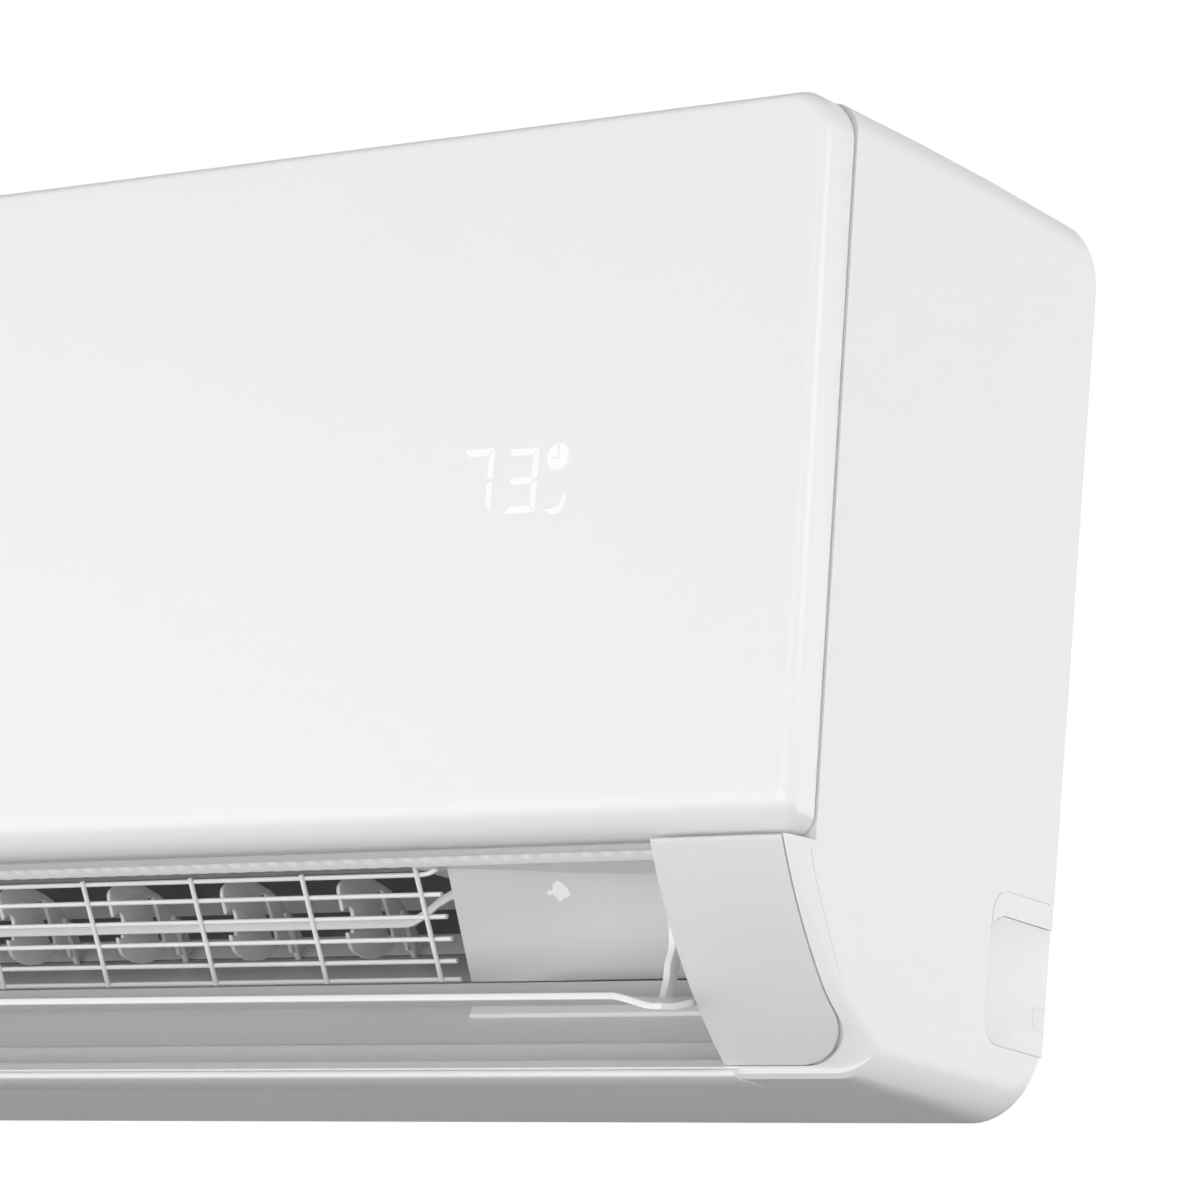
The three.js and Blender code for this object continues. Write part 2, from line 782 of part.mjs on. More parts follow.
// ---- Louver, drawn shut and turned to the open position ----
function louver() {
  const shut = band(frontArc(0.012, 0.955, 0, 12), LOUVER_THICK);
  const foot = frontArc(0.44, 0.6, 1.2, 2);
  const arm = [
    foot[0],
    foot[2],
    [PIVOT[0] - 2, PIVOT[1] - 6],
    [PIVOT[0] + 4.2, PIVOT[1] - 1.5],
    [PIVOT[0] + 3, PIVOT[1] + 3.3],
    [PIVOT[0] - 3, PIVOT[1] + 3.3],
    [PIVOT[0] - 9, PIVOT[1] - 3],
  ];
  const open = (points) => turned(points, PIVOT, LOUVER_OPEN);
  const blade = alongX(open(shut), -LOUVER_END_X, LOUVER_END_X);
  const arms = both((side) => {
    const goose = join(
      alongX(open(arm), 331, 334),
      rodX(...PIVOT, 4.4, 331, 341, 14),
      rodX(...PIVOT, 2.3, 340, 362, 12),
    );
    return side > 0 ? goose : mirrored(goose);
  });
  return join(blade, ...arms);
}

// ---- Heat exchanger ----
const COILS = {
  coil_front: { low: [-121.4, -48], high: [-121.4, 58] },
  coil_upper: { low: [-120, 68], high: [-84, 116] },
  coil_rear: { low: [-33, 69], high: [-71, 119] },
};
const COIL_THICK = 18;
const COIL_LEFT_X = -327;
const COIL_RIGHT_X = 237;

function coilOutline({ low, high }, thickness, extra) {
  const run = [high[0] - low[0], high[1] - low[1]];
  const length = Math.hypot(...run);
  const u = [run[0] / length, run[1] / length];
  const n = [(-u[1] * thickness) / 2, (u[0] * thickness) / 2];
  const a = [low[0] - u[0] * extra, low[1] - u[1] * extra];
  const b = [high[0] + u[0] * extra, high[1] + u[1] * extra];
  return [
    [a[0] + n[0], a[1] + n[1]],
    [a[0] - n[0], a[1] - n[1]],
    [b[0] - n[0], b[1] - n[1]],
    [b[0] + n[0], b[1] + n[1]],
  ];
}

function coil(place) {
  const packBlock = alongX(coilOutline(place, COIL_THICK, 0), COIL_LEFT_X, COIL_RIGHT_X);
  const slots = [];
  for (let x = COIL_LEFT_X + 12; x < COIL_RIGHT_X - 6; x += 36) {
    slots.push(
      cut(
        alongX(coilOutline(place, COIL_THICK + 6, 2), x, x + 3),
        alongX(coilOutline(place, COIL_THICK - 6, 6), x - 1, x + 4),
      ),
    );
  }
  return cut(packBlock, ...slots);
}

function returnBend(from, to, x, out) {
  const a = new THREE.Vector3(x, ...from);
  const b = new THREE.Vector3(x, ...to);
  const middle = a.clone().add(b).multiplyScalar(0.5);
  const half = a.distanceTo(b) / 2;
  const across = b.clone().sub(a).normalize();
  const points = [];
  for (let i = 0; i <= 6; i++) {
    const angle = (Math.PI * i) / 6;
    points.push(
      middle
        .clone()
        .addScaledVector(across, -half * Math.cos(angle))
        .addScaledVector(X, out * half * Math.sin(angle)),
    );
  }
  const first = points[0].clone().addScaledVector(X, -out * 1.5);
  const last = points.at(-1).clone().addScaledVector(X, -out * 1.5);
  const path = new THREE.CatmullRomCurve3([first, ...points, last]);
  const ring = new THREE.Shape(arc([0, 0], 3.2, 0, 300, 5).map(([u, v]) => new THREE.Vector2(u, v)));
  const tube = new THREE.ExtrudeGeometry(ring, { steps: 6, extrudePath: path, bevelEnabled: false });
  return solid(tube);
}

function coilEndPlate(x0, x1, out) {
  const places = Object.values(COILS);
  const plates = places.map((place) => alongX(coilOutline(place, COIL_THICK + 1, 2), x0, x1));
  const ties = [
    alongX(coilOutline({ low: [-121, 50], high: [-116, 76] }, 10, 0), x0, x1),
    alongX(coilOutline({ low: [-92, 113], high: [-64, 115] }, 9, 0), x0, x1),
  ];
  const bends = places.flatMap(({ low, high }) => {
    const run = [high[0] - low[0], high[1] - low[1]];
    const spot = (t) => [low[0] + run[0] * t, low[1] + run[1] * t];
    const pairs = Math.floor(Math.hypot(...run) / 34);
    return Array.from({ length: pairs }, (_, k) => {
      const t = (k + 0.5) / pairs;
      const reach = 8.5 / Math.hypot(...run);
      return returnBend(spot(t - reach), spot(t + reach), out > 0 ? x1 : x0, out);
    });
  });
  return join(...plates, ...ties, ...bends);
}

// ---- Cross-flow fan, its shafts, bearing and motor ----
function crossflowFan() {
  const ring = (r0, r1, x) =>
    cut(rodX(...FAN, r1, x, x + WALL, 24), rodX(...FAN, r0, x - 1, x + WALL + 1, 16));
  const blades = [];
  for (let k = 0; k < FAN_BLADES; k++) {
    const base = (360 * k) / FAN_BLADES;
    const line = [32.5, 37, FAN_RADIUS - 0.6].map((r, i) => {
      const angle = radians(base + 0.8 * (r - 32.5) + 2.2 * i * i);
      return [FAN[0] + r * Math.cos(angle), FAN[1] + r * Math.sin(angle)];
    });
    blades.push(alongX(band(line, 1.4), FAN_LEFT_X + 1, FAN_RIGHT_X - 1));
  }
  const spans = 4;
  const rings = [];
  for (let i = 1; i < spans; i++) {
    rings.push(ring(31.5, FAN_RADIUS, lerp(FAN_LEFT_X, FAN_RIGHT_X - WALL, i / spans)));
  }
  const hub = (x0, x1) =>
    cut(rodX(...FAN, 8, x0, x1, 16), rodX(...FAN, SHAFT_RADIUS + GAP, x0 - 1, x1 + 1, 16));
  return join(
    ...blades,
    ...rings,
    ring(SHAFT_RADIUS + GAP, FAN_RADIUS, FAN_LEFT_X),
    ring(SHAFT_RADIUS + GAP, FAN_RADIUS, FAN_RIGHT_X - WALL),
    hub(FAN_LEFT_X, FAN_LEFT_X + 18),
    hub(FAN_RIGHT_X - 18, FAN_RIGHT_X),
  );
}

const fanBearing = () =>
  cut(rodX(...FAN, 9, -340, -334.5, 20), rodX(...FAN, SHAFT_RADIUS + 0.3, -345, -330, 16));

function bearingHolder() {
  const plate = block(-345, -341, FAN[0] - 22, FAN[0] + 22, FAN[1] - 22, FAN[1] + 22);
  const cup = cut(rodX(...FAN, 12, -342, -334, 20), rodX(...FAN, 9.4, -340.4, -330, 20));
  return join(plate, cup);
}

function fanMotor() {
  const body = rodX(...FAN, 38, 276, 326, 28);
  const boss = rodX(...FAN, 16, 270, 330, 16);
  return cut(join(body, boss), rodX(...FAN, SHAFT_RADIUS + 0.4, 260, 300, 16));
}

function motorCover() {
  const arch = cut(
    alongX([...arc(FAN, 43, 0, 180, 14), [-109, 0], [-23, 0]], 287, 317),
    alongX(arc(FAN, 39, -180, 180, 24).slice(0, -1), 270, 330),
    block(260, 340, -130, 0, -50, 2.6),
  );
  const feet = [
    block(283, 323, -109, -105.4, 2.6, 5.4),
    block(283, 323, -26.6, -23, 2.6, 5.4),
  ];
  return join(arch, ...feet);
}

// ---- Air filters: a flat top and a leg that drops in front of the coil ----
function airFilter([x0, x1]) {
  const y = FILTER_LIFT_Y;
  const columns = 6;
  const rim = 5;
  const leg = block(x0, x1, y - 1, y + 1, -32, 146.6);
  const top = block(x0, x1, y - 1, -32, 144.4, 146.6);
  const windows = [];
  for (let i = 0; i < columns; i++) {
    const a = lerp(x0 + rim, x1 - rim, i / columns) + 1.2;
    const b = lerp(x0 + rim, x1 - rim, (i + 1) / columns) - 1.2;
    for (const [low, high] of [
      [-27, 22],
      [25, 80],
      [83, 138],
    ]) {
      windows.push(block(a, b, y - 2, y + 2, low, high));
    }
    for (const [near, far] of [
      [y + 5, -84],
      [-81, -37],
    ]) {
      windows.push(block(a, b, near, far, 140, 150));
    }
  }
  const middle = (x0 + x1) / 2;
  const tab = block(middle - 20, middle + 20, y - 2.6, y + 1, 141, 148.4);
  return cut(join(leg, top), ...windows).add(tab);
}

// ---- Control electronics ----
const BOX = { x0: 333, x1: 386, y0: -131, y1: -14, z0: -58, z1: 96 };

function electricBox() {
  const { x0, x1, y0, y1, z0, z1 } = BOX;
  return cut(
    block(x0, x1, y0, y1, z0, z1),
    block(x0 + 2, x1 - 2, y0 - 5, y1 - 2, z0 + 2, z1 - 2),
  );
}

function circuitBoard() {
  const plate = block(340, 341.6, -126, -24, -48, 84);
  const parts = [
    rodX(-50, 50, 8, 341, 360, 12),
    rodX(-74, 56, 6, 341, 356, 12),
    block(341, 352, -110, -90, 30, 60),
    block(341, 349, -112, -70, -40, 0),
    block(341, 356, -56, -34, -30, 4),
  ];
  return join(plate, ...parts);
}

function terminalBlock() {
  const base = block(364, 383, -124, -108, -50, 0);
  const ways = [0, 1, 2, 3].map((k) => block(366, 381, -126, -119, -46 + k * 12, -39 + k * 12));
  return cut(base, ...ways);
}

// ---- Refrigerant pipes, drain and small parts ----
function bentTube(points, radius, sides, steps) {
  const stations = points.map((point) => new THREE.Vector3(...point));
  const path = new THREE.CatmullRomCurve3(stations, false, "centripetal");
  const ring = new THREE.Shape(
    arc([0, 0], radius, 0, 360 - 360 / sides, sides - 1).map(([u, v]) => new THREE.Vector2(u, v)),
  );
  return solid(new THREE.ExtrudeGeometry(ring, { steps, extrudePath: path, bevelEnabled: false }));
}

const GAS_PIPE = [
  [239.4, -40, 79],
  [247, -40, 79],
  [266, -27, 68],
  [292, -17, 44],
  [294, -16.5, 8],
  [294, -17, -40],
  [294, -21, -80],
  [282, -21, -102],
  [250, -21, -108],
  [140, -21, -108],
  [-60, -21, -108],
];
const LIQUID_PIPE = [
  [239.4, -66, 113],
  [251, -66, 113],
  [284, -36, 94],
  [309, -17, 64],
  [311, -15, 8],
  [311, -16, -50],
  [311, -18, -96],
  [298, -16, -118],
  [260, -16, -121],
  [140, -16, -121],
  [-60, -16, -121],
];
const DRAIN_HOSE = [
  [-354, -120, -57.2],
  [-364, -120, -57.2],
  [-374, -112, -60],
  [-378, -90, -70],
  [-378, -50, -98],
  [-372, -32, -122],
  [-352, -30, -131],
  [-300, -30, -132],
  [-70, -30, -132],
];

function drainHose() {
  return cut(bentTube(DRAIN_HOSE, 8, 8, 26), rodX(-120, -57.2, 6.6, -364, -352, 12));
}

function pipeClamp() {
  const pipes = [rodX(-21, -108, 5.1, 50, 80, 16), rodX(-16, -121, 3.5, 50, 80, 16)];
  return cut(block(60, 70, -29, -9, -127.5, -100), ...pipes);
}

const roomSensor = () =>
  join(rodX(-128, 30, 2.6, 262, 282, 10), block(253, 266, -130.5, -125.5, 28, 32));

function flareNut(y, z, across) {
  return rodX(y, z, across, -82, -61, 6);
}

function mountingPlate() {
  const sheet = block(-200, 200, -1.4, 0, -88, 96);
  const hooks = [-150, 150].map((x) =>
    join(
      block(x - 9, x + 9, -12, -1.2, 85.6, 87.4),
      block(x - 9, x + 9, -12, -10.4, 85.6, 100),
    ),
  );
  const slots = [-165, -95, 95, 165].flatMap((x) =>
    [-60, 40].map((z) => alongY(roundedBox(x - 9, x + 9, z - 3, z + 3, [2, 2, 2, 2]), -3, 2)),
  );
  const ribs = [-30, 30].map((z) => block(-150, 150, -4, -1, z - 3, z + 3));
  return cut(join(sheet, ...hooks, ...ribs), ...slots);
}

function pipeCover(side) {
  const plate = alongX(
    [
      [-2.4, KNOCKOUT.z0],
      [-2.4, KNOCKOUT.z1],
      ...knockoutOutline(0).slice(2),
    ],
    HALF_WIDTH - 2.4,
    HALF_WIDTH - 0.3,
  );
  const tab = block(HALF_WIDTH - 1, HALF_WIDTH - 0.01, -10, -4.4, -115, -108);
  const cover = plate.add(tab);
  return side > 0 ? cover : mirrored(cover);
}

function casingScrew(side) {
  const screw = join(
    rod([side * 372, -115.2, -120], [side * 372, -113.8, -120], 3.2, 12),
    rod([side * 372, -114, -120], [side * 372, -100, -120], 1.9, 10),
  );
  return cut(screw, block(side * 372 - 2, side * 372 + 2, -116, -114.6, -120.5, -119.5));
}

// ---- Assembly ----
piece("mounting_plate", mountingPlate(), steel);
piece("rear_chassis", rearChassis(), paleGrey);
piece("air_outlet", outletBody(), paleGrey);
piece("front_casing", frontCasing(), white);
piece("front_panel", frontPanel(), white);
piece("end_cover_right", endCover(1), silver);
piece("end_cover_left", endCover(-1), silver);
piece("pipe_cover_right", pipeCover(1), white);
piece("pipe_cover_left", pipeCover(-1), white);
piece("casing_screw_right", casingScrew(1), steel);
piece("casing_screw_left", casingScrew(-1), steel);

piece("wire_guard", wireGuard(), silver);
piece("louver", louver(), white);
piece(
  "louver_motor",
  cut(rodX(...PIVOT, 12, 355, 373, 20), rodX(...PIVOT, 2.7, 350, 365, 12)),
  white,
);
piece(
  "louver_bush",
  cut(
    join(rodX(...PIVOT, 4.8, -353, -346.5, 16), rodX(...PIVOT, 7, -355, -352.4, 16)),
    rodX(...PIVOT, 2.7, -370, -340, 12),
  ),
  silver,
);
vanePlaces().forEach((x, k) => {
  piece("vane_" + String(k + 1).padStart(2, "0"), vane(x), silver);
});
piece("vane_link", vaneLink(), silver);
const crank = vaneCrank();
piece("vane_crank", crank.body, silver);
piece("vane_motor", rod([CRANK_X, ...crank.top], [CRANK_X, ...crank.far], 12, 20), white);

piece("crossflow_fan", crossflowFan(), darkGrey);
piece("fan_shaft_left", rodX(...FAN, SHAFT_RADIUS, -340, -306, 14), steel);
piece("fan_shaft_right", rodX(...FAN, SHAFT_RADIUS, 227, 296, 14), steel);
piece("fan_bearing", fanBearing(), rubber);
piece("bearing_holder", bearingHolder(), paleGrey);
piece("fan_motor", fanMotor(), steel);
piece("motor_cover", motorCover(), paleGrey);

Object.entries(COILS).forEach(([name, place]) => piece(name, coil(place), fins));
piece("coil_end_plate_right", coilEndPlate(COIL_RIGHT_X + 0.4, COIL_RIGHT_X + 1.6, 1), copper);
piece("coil_end_plate_left", coilEndPlate(COIL_LEFT_X - 1.6, COIL_LEFT_X - 0.4, -1), copper);
piece("gas_pipe", bentTube(GAS_PIPE, 4.8, 8, 30), copper);
piece("liquid_pipe", bentTube(LIQUID_PIPE, 3.2, 6, 32), copper);
piece("pipe_clamp", pipeClamp(), steel);
piece("drain_hose", drainHose(), rubber);
piece("room_sensor", roomSensor(), copper);
piece("gas_flare_nut", flareNut(-21, -108, 9), brass);
piece("liquid_flare_nut", flareNut(-16, -121, 6.5), brass);

piece("air_filter_left", airFilter(FILTER_SPAN[0]), mesh);
piece("air_filter_right", airFilter(FILTER_SPAN[1]), mesh);

piece("electric_box", electricBox(), darkGrey);
piece("electric_box_cover", block(333, 386, -133, -131.4, -58, 96), darkGrey);
piece("circuit_board", circuitBoard(), board);
piece("terminal_block", terminalBlock(), rubber);
piece("display_board", block(258, 318, -152.5, -150.5, 12, 58), board);
piece("emergency_button", rod([372, -141, -30], [372, -135.3, -30], 3.9, 16), paleGrey);
piece("drain_plug", rodX(-120, -57.2, 3.8, 262, 276, 12), rubber);

export default unit;
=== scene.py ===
# %% [markdown]
# # A wall unit of a mini split air conditioner
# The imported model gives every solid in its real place. This notebook dresses it: the skins that
# show are drawn again as smooth surfaces, the rest keep their solids and get their finishes.
# Lengths below are millimetres, and `MM` turns them into Blender's metres.

import math

import bmesh
import bpy
import numpy as np
from mathutils import Matrix, Vector


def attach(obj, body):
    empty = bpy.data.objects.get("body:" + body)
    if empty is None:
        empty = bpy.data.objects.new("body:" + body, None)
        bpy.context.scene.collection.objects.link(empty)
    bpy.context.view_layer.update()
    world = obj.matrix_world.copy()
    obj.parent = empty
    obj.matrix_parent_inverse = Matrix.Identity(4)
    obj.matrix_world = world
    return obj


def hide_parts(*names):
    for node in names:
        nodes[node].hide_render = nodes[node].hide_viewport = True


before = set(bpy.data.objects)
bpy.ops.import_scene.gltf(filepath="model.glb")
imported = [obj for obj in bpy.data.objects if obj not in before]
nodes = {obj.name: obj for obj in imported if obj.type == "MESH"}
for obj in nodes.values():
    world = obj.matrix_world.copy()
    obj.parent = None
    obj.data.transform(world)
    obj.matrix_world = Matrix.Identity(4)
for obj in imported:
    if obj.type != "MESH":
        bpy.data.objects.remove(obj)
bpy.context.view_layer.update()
MM = 0.001

# %% [markdown]
# ## Camera, light and room
# The photograph was taken from the right and a little below, with a long lens.

# %% Camera
eye = Vector((1.3339, -1.4843, -0.3486))
right = Vector((0.8046, 0.5878, 0.0844)).normalized()
up = Vector((0.0527, -0.2122, 0.9758)).normalized()
back = right.cross(up).normalized()
up = back.cross(right)
view = bpy.data.cameras.new("photo_camera")
view.lens = 168
view.sensor_width = 36
view.clip_start = 0.05
view.clip_end = 40
camera = bpy.data.objects.new("photo_camera", view)
turn = Matrix((right, up, back)).transposed()
camera.matrix_world = Matrix.Translation(eye) @ turn.to_4x4()
bpy.context.scene.collection.objects.link(camera)
bpy.context.scene.camera = camera
bpy.context.scene.view_settings.view_transform = "Standard"
print("camera at", [round(value, 3) for value in eye], "lens", view.lens, "mm")

# %% [markdown]
# The picture is lit almost evenly from every side, and the underside is in open shade. A ring of
# broad, far lamps does that. The three at the front shine a little upwards, which lights the curl
# at the foot of the panel, and the others are level. A dim sky fills the shadows. The sky looks
# white to the camera and to mirrors only, so the background is white without more light on the
# object.

# %% Light
sky = bpy.data.worlds.new("studio")
bpy.context.scene.world = sky
sky.use_nodes = True
net = sky.node_tree
net.nodes.clear()
path = net.nodes.new("ShaderNodeLightPath")
seen = net.nodes.new("ShaderNodeMath")
seen.operation = "MAXIMUM"
dim = net.nodes.new("ShaderNodeBackground")
dim.inputs["Color"].default_value = (1, 1, 1, 1)
dim.inputs["Strength"].default_value = 0.14
white_sky = net.nodes.new("ShaderNodeBackground")
white_sky.inputs["Color"].default_value = (1, 1, 1, 1)
white_sky.inputs["Strength"].default_value = 1.0
either = net.nodes.new("ShaderNodeMixShader")
sky_out = net.nodes.new("ShaderNodeOutputWorld")
mirrored = net.nodes.new("ShaderNodeMath")
mirrored.operation = "MAXIMUM"
net.links.new(path.outputs["Is Camera Ray"], seen.inputs[0])
net.links.new(path.outputs["Is Transmission Ray"], seen.inputs[1])
net.links.new(seen.outputs[0], mirrored.inputs[0])
net.links.new(path.outputs["Is Glossy Ray"], mirrored.inputs[1])
net.links.new(mirrored.outputs[0], either.inputs[0])
net.links.new(dim.outputs[0], either.inputs[1])
net.links.new(white_sky.outputs[0], either.inputs[2])
net.links.new(either.outputs[0], sky_out.inputs[0])


def sun(name, towards, strength, spread):
    """A far lamp shining along `towards`; strength 1 lights a facing white surface to 1/pi."""
    data = bpy.data.lights.new(name, "SUN")
    data.energy = strength
    data.angle = math.radians(spread)
    lamp = bpy.data.objects.new(name, data)
    lamp.rotation_euler = Vector(towards).to_track_quat("-Z", "Y").to_euler()
    bpy.context.scene.collection.objects.link(lamp)


# Each lamp's bearing in degrees, from straight in front towards the right end, then its strength
# and the upward slope of its light.
RING = {
    -110: (1.1, 0),
    -45: (0.90, 0.15),
    0: (1.3, 0.28),
    38: (0.7, 0.16),
    90: (1.55, 0),
    135: (1.0, 0),
    180: (0.8, 0),
}
LAMP_SPREAD = 42
for bearing, (strength, rise) in RING.items():
    a = math.radians(bearing)
    sun("softbox_%d" % bearing, (-math.sin(a), math.cos(a), rise), strength, LAMP_SPREAD)
print("lamps in the ring", len(RING))

# %% [markdown]
# The unit hangs on a wall in use, so the floor lies well below it. It ends a little way in front of
# the unit, because further on it would stop the light that the front lamps send from below. Only
# the camera sees a glow on it. That makes it look nearly as pale as the background, and it sheds
# no light of its own on the object.

# %% Floor
half, near_edge, far_edge, level = 8.0, -1.3, 12.0, -0.95
PALE_SHARE = 0.85
ground = bpy.data.meshes.new("studio_floor")
corners = [(-half, near_edge), (half, near_edge), (half, far_edge), (-half, far_edge)]
ground.from_pydata([(x, y, level) for x, y in corners], [], [(0, 1, 2, 3)])
floor = bpy.data.objects.new("studio_floor", ground)
bpy.context.scene.collection.objects.link(floor)
paper = bpy.data.materials.new("studio_paper")
paper.use_nodes = True
paper_tree = paper.node_tree
paper_shader = paper_tree.nodes["Principled BSDF"]
paper_shader.inputs["Roughness"].default_value = 0.9
speckle = paper_tree.nodes.new("ShaderNodeTexNoise")
speckle.inputs["Scale"].default_value = 3.0
tint = paper_tree.nodes.new("ShaderNodeMix")
tint.data_type = "RGBA"
tint.inputs[6].default_value = (0.70, 0.70, 0.70, 1)
tint.inputs[7].default_value = (0.74, 0.74, 0.74, 1)
paper_tree.links.new(speckle.outputs["Fac"], tint.inputs[0])
paper_tree.links.new(tint.outputs[2], paper_shader.inputs["Base Color"])
pale_light = paper_tree.nodes.new("ShaderNodeEmission")
ray = paper_tree.nodes.new("ShaderNodeLightPath")
camera_share = paper_tree.nodes.new("ShaderNodeMath")
camera_share.operation = "MULTIPLY"
camera_share.inputs[1].default_value = PALE_SHARE
blend = paper_tree.nodes.new("ShaderNodeMixShader")
paper_tree.links.new(ray.outputs["Is Camera Ray"], camera_share.inputs[0])
paper_tree.links.new(camera_share.outputs[0], blend.inputs[0])
paper_tree.links.new(paper_shader.outputs[0], blend.inputs[1])
paper_tree.links.new(pale_light.outputs[0], blend.inputs[2])
paper_tree.links.new(blend.outputs[0], paper_tree.nodes["Material Output"].inputs["Surface"])
ground.materials.append(paper)
print("floor", 2 * half, "by", far_edge - near_edge, "m, at height", level)

# %% [markdown]
# ## Finishes
# Most of the unit is moulded plastic. Up close it is never one flat colour: the mould leaves a
# very fine grain, and the tone and the gloss vary a little where the plastic flowed. One node
# group makes these effects, and each plastic uses it with its own values.

# %% Node group for moulded plastic
moulded = bpy.data.node_groups.new("moulded_plastic", "ShaderNodeTree")
for label, kind, start in (
    ("Color", "NodeSocketColor", (0.8, 0.8, 0.8, 1)),
    ("Tone Spread", "NodeSocketFloat", 0.03),
    ("Grain Scale", "NodeSocketFloat", 1500.0),
    ("Flow Scale", "NodeSocketFloat", 9.0),
    ("Roughness", "NodeSocketFloat", 0.35),
    ("Roughness Spread", "NodeSocketFloat", 0.08),
):
    socket = moulded.interface.new_socket(label, in_out="INPUT", socket_type=kind)
    socket.default_value = start
moulded.interface.new_socket("Color", in_out="OUTPUT", socket_type="NodeSocketColor")
moulded.interface.new_socket("Roughness", in_out="OUTPUT", socket_type="NodeSocketFloat")
moulded.interface.new_socket("Height", in_out="OUTPUT", socket_type="NodeSocketFloat")


def add(tree, kind, **values):
    """A node with its sockets and properties set from keywords."""
    node = tree.nodes.new(kind)
    for key, value in values.items():
        if hasattr(node, key):
            setattr(node, key, value)
        else:
            node.inputs[key.replace("_", " ")].default_value = value
    return node


def wire(tree, source, target):
    """Links one node's output to another node's input."""
    tree.links.new(source, target)


def mix_colour(tree, factor, first, second):
    """first where factor is 0 and second where it is 1; each is a colour or a socket."""
    node = tree.nodes.new("ShaderNodeMix")
    node.data_type = "RGBA"
    tree.links.new(factor, node.inputs[0])
    for place, value in ((6, first), (7, second)):
        if isinstance(value, bpy.types.NodeSocket):
            tree.links.new(value, node.inputs[place])
        else:
            node.inputs[place].default_value = (*value, 1)
    return node.outputs[2]


def build_moulded(tree):
    """Colour = base x (1 + tone spread (flow noise - 0.5)); roughness = base + spread (that same
    difference); height = the fine grain noise."""
    given = tree.nodes.new("NodeGroupInput").outputs
    place = tree.nodes.new("ShaderNodeTexCoord").outputs["Object"]
    flow = add(tree, "ShaderNodeTexNoise", Detail=4.0)
    grain = add(tree, "ShaderNodeTexNoise", Detail=2.0)
    for node, scale in ((flow, "Flow Scale"), (grain, "Grain Scale")):
        wire(tree, place, node.inputs["Vector"])
        wire(tree, given[scale], node.inputs["Scale"])
    centred = add(tree, "ShaderNodeMath", operation="SUBTRACT")
    wire(tree, flow.outputs["Fac"], centred.inputs[0])
    centred.inputs[1].default_value = 0.5
    tone = add(tree, "ShaderNodeMath", operation="MULTIPLY_ADD")
    wire(tree, centred.outputs[0], tone.inputs[0])
    wire(tree, given["Tone Spread"], tone.inputs[1])
    tone.inputs[2].default_value = 1.0
    toned = add(tree, "ShaderNodeVectorMath", operation="SCALE")
    wire(tree, given["Color"], toned.inputs[0])
    wire(tree, tone.outputs[0], toned.inputs["Scale"])
    rough = add(tree, "ShaderNodeMath", operation="MULTIPLY_ADD")
    wire(tree, centred.outputs[0], rough.inputs[0])
    wire(tree, given["Roughness Spread"], rough.inputs[1])
    wire(tree, given["Roughness"], rough.inputs[2])
    given_back = tree.nodes.new("NodeGroupOutput")
    wire(tree, toned.outputs[0], given_back.inputs["Color"])
    wire(tree, rough.outputs[0], given_back.inputs["Roughness"])
    wire(tree, grain.outputs["Fac"], given_back.inputs["Height"])


build_moulded(moulded)
print("nodes for moulded plastic", len(moulded.nodes))

# %% [markdown]
# A second group draws fine parallel lines: the rolling marks of sheet steel, the fins of the
# heat exchanger and the threads of the filter net all come from it at different pitches.

# %% Node group for parallel lines
lines = bpy.data.node_groups.new("parallel_lines", "ShaderNodeTree")
for label, start in (("Lines Per Metre", 700.0), ("Wander", 0.0), ("Sharpness", 1.0)):
    socket = lines.interface.new_socket(label, in_out="INPUT", socket_type="NodeSocketFloat")
    socket.default_value = start
heading = lines.interface.new_socket("Direction", in_out="INPUT", socket_type="NodeSocketVector")
heading.default_value = (1, 0, 0)
lines.interface.new_socket("Mask", in_out="OUTPUT", socket_type="NodeSocketFloat")


def build_lines(tree):
    """Mask = (0.5 + 0.5 sin(2 pi lines (p.direction + wander noise))) to the power sharpness."""
    given = tree.nodes.new("NodeGroupInput").outputs
    place = tree.nodes.new("ShaderNodeTexCoord").outputs["Object"]
    along = add(tree, "ShaderNodeVectorMath", operation="DOT_PRODUCT")
    wire(tree, place, along.inputs[0])
    wire(tree, given["Direction"], along.inputs[1])
    noise = add(tree, "ShaderNodeTexNoise", Scale=40.0, Detail=3.0)
    wire(tree, place, noise.inputs["Vector"])
    moved = add(tree, "ShaderNodeMath", operation="MULTIPLY_ADD")
    wire(tree, noise.outputs["Fac"], moved.inputs[0])
    wire(tree, given["Wander"], moved.inputs[1])
    wire(tree, along.outputs["Value"], moved.inputs[2])
    turns = add(tree, "ShaderNodeMath", operation="MULTIPLY")
    wire(tree, moved.outputs[0], turns.inputs[0])
    wire(tree, given["Lines Per Metre"], turns.inputs[1])
    angle = add(tree, "ShaderNodeMath", operation="MULTIPLY")
    wire(tree, turns.outputs[0], angle.inputs[0])
    angle.inputs[1].default_value = 2 * math.pi
    wave = add(tree, "ShaderNodeMath", operation="SINE")
    wire(tree, angle.outputs[0], wave.inputs[0])
    lifted = add(tree, "ShaderNodeMath", operation="MULTIPLY_ADD")
    wire(tree, wave.outputs[0], lifted.inputs[0])
    lifted.inputs[1].default_value = 0.5
    lifted.inputs[2].default_value = 0.5
    shaped = add(tree, "ShaderNodeMath", operation="POWER")
    wire(tree, lifted.outputs[0], shaped.inputs[0])
    wire(tree, given["Sharpness"], shaped.inputs[1])
    wire(tree, shaped.outputs[0], tree.nodes.new("NodeGroupOutput").inputs["Mask"])


build_lines(lines)
print("nodes for parallel lines", len(lines.nodes))

# %% [markdown]
# Every plastic is the same recipe: the group gives colour, gloss and grain, and the grain goes
# through a bump node. Only the values differ, as they do between real mouldings.

# %% Plastics


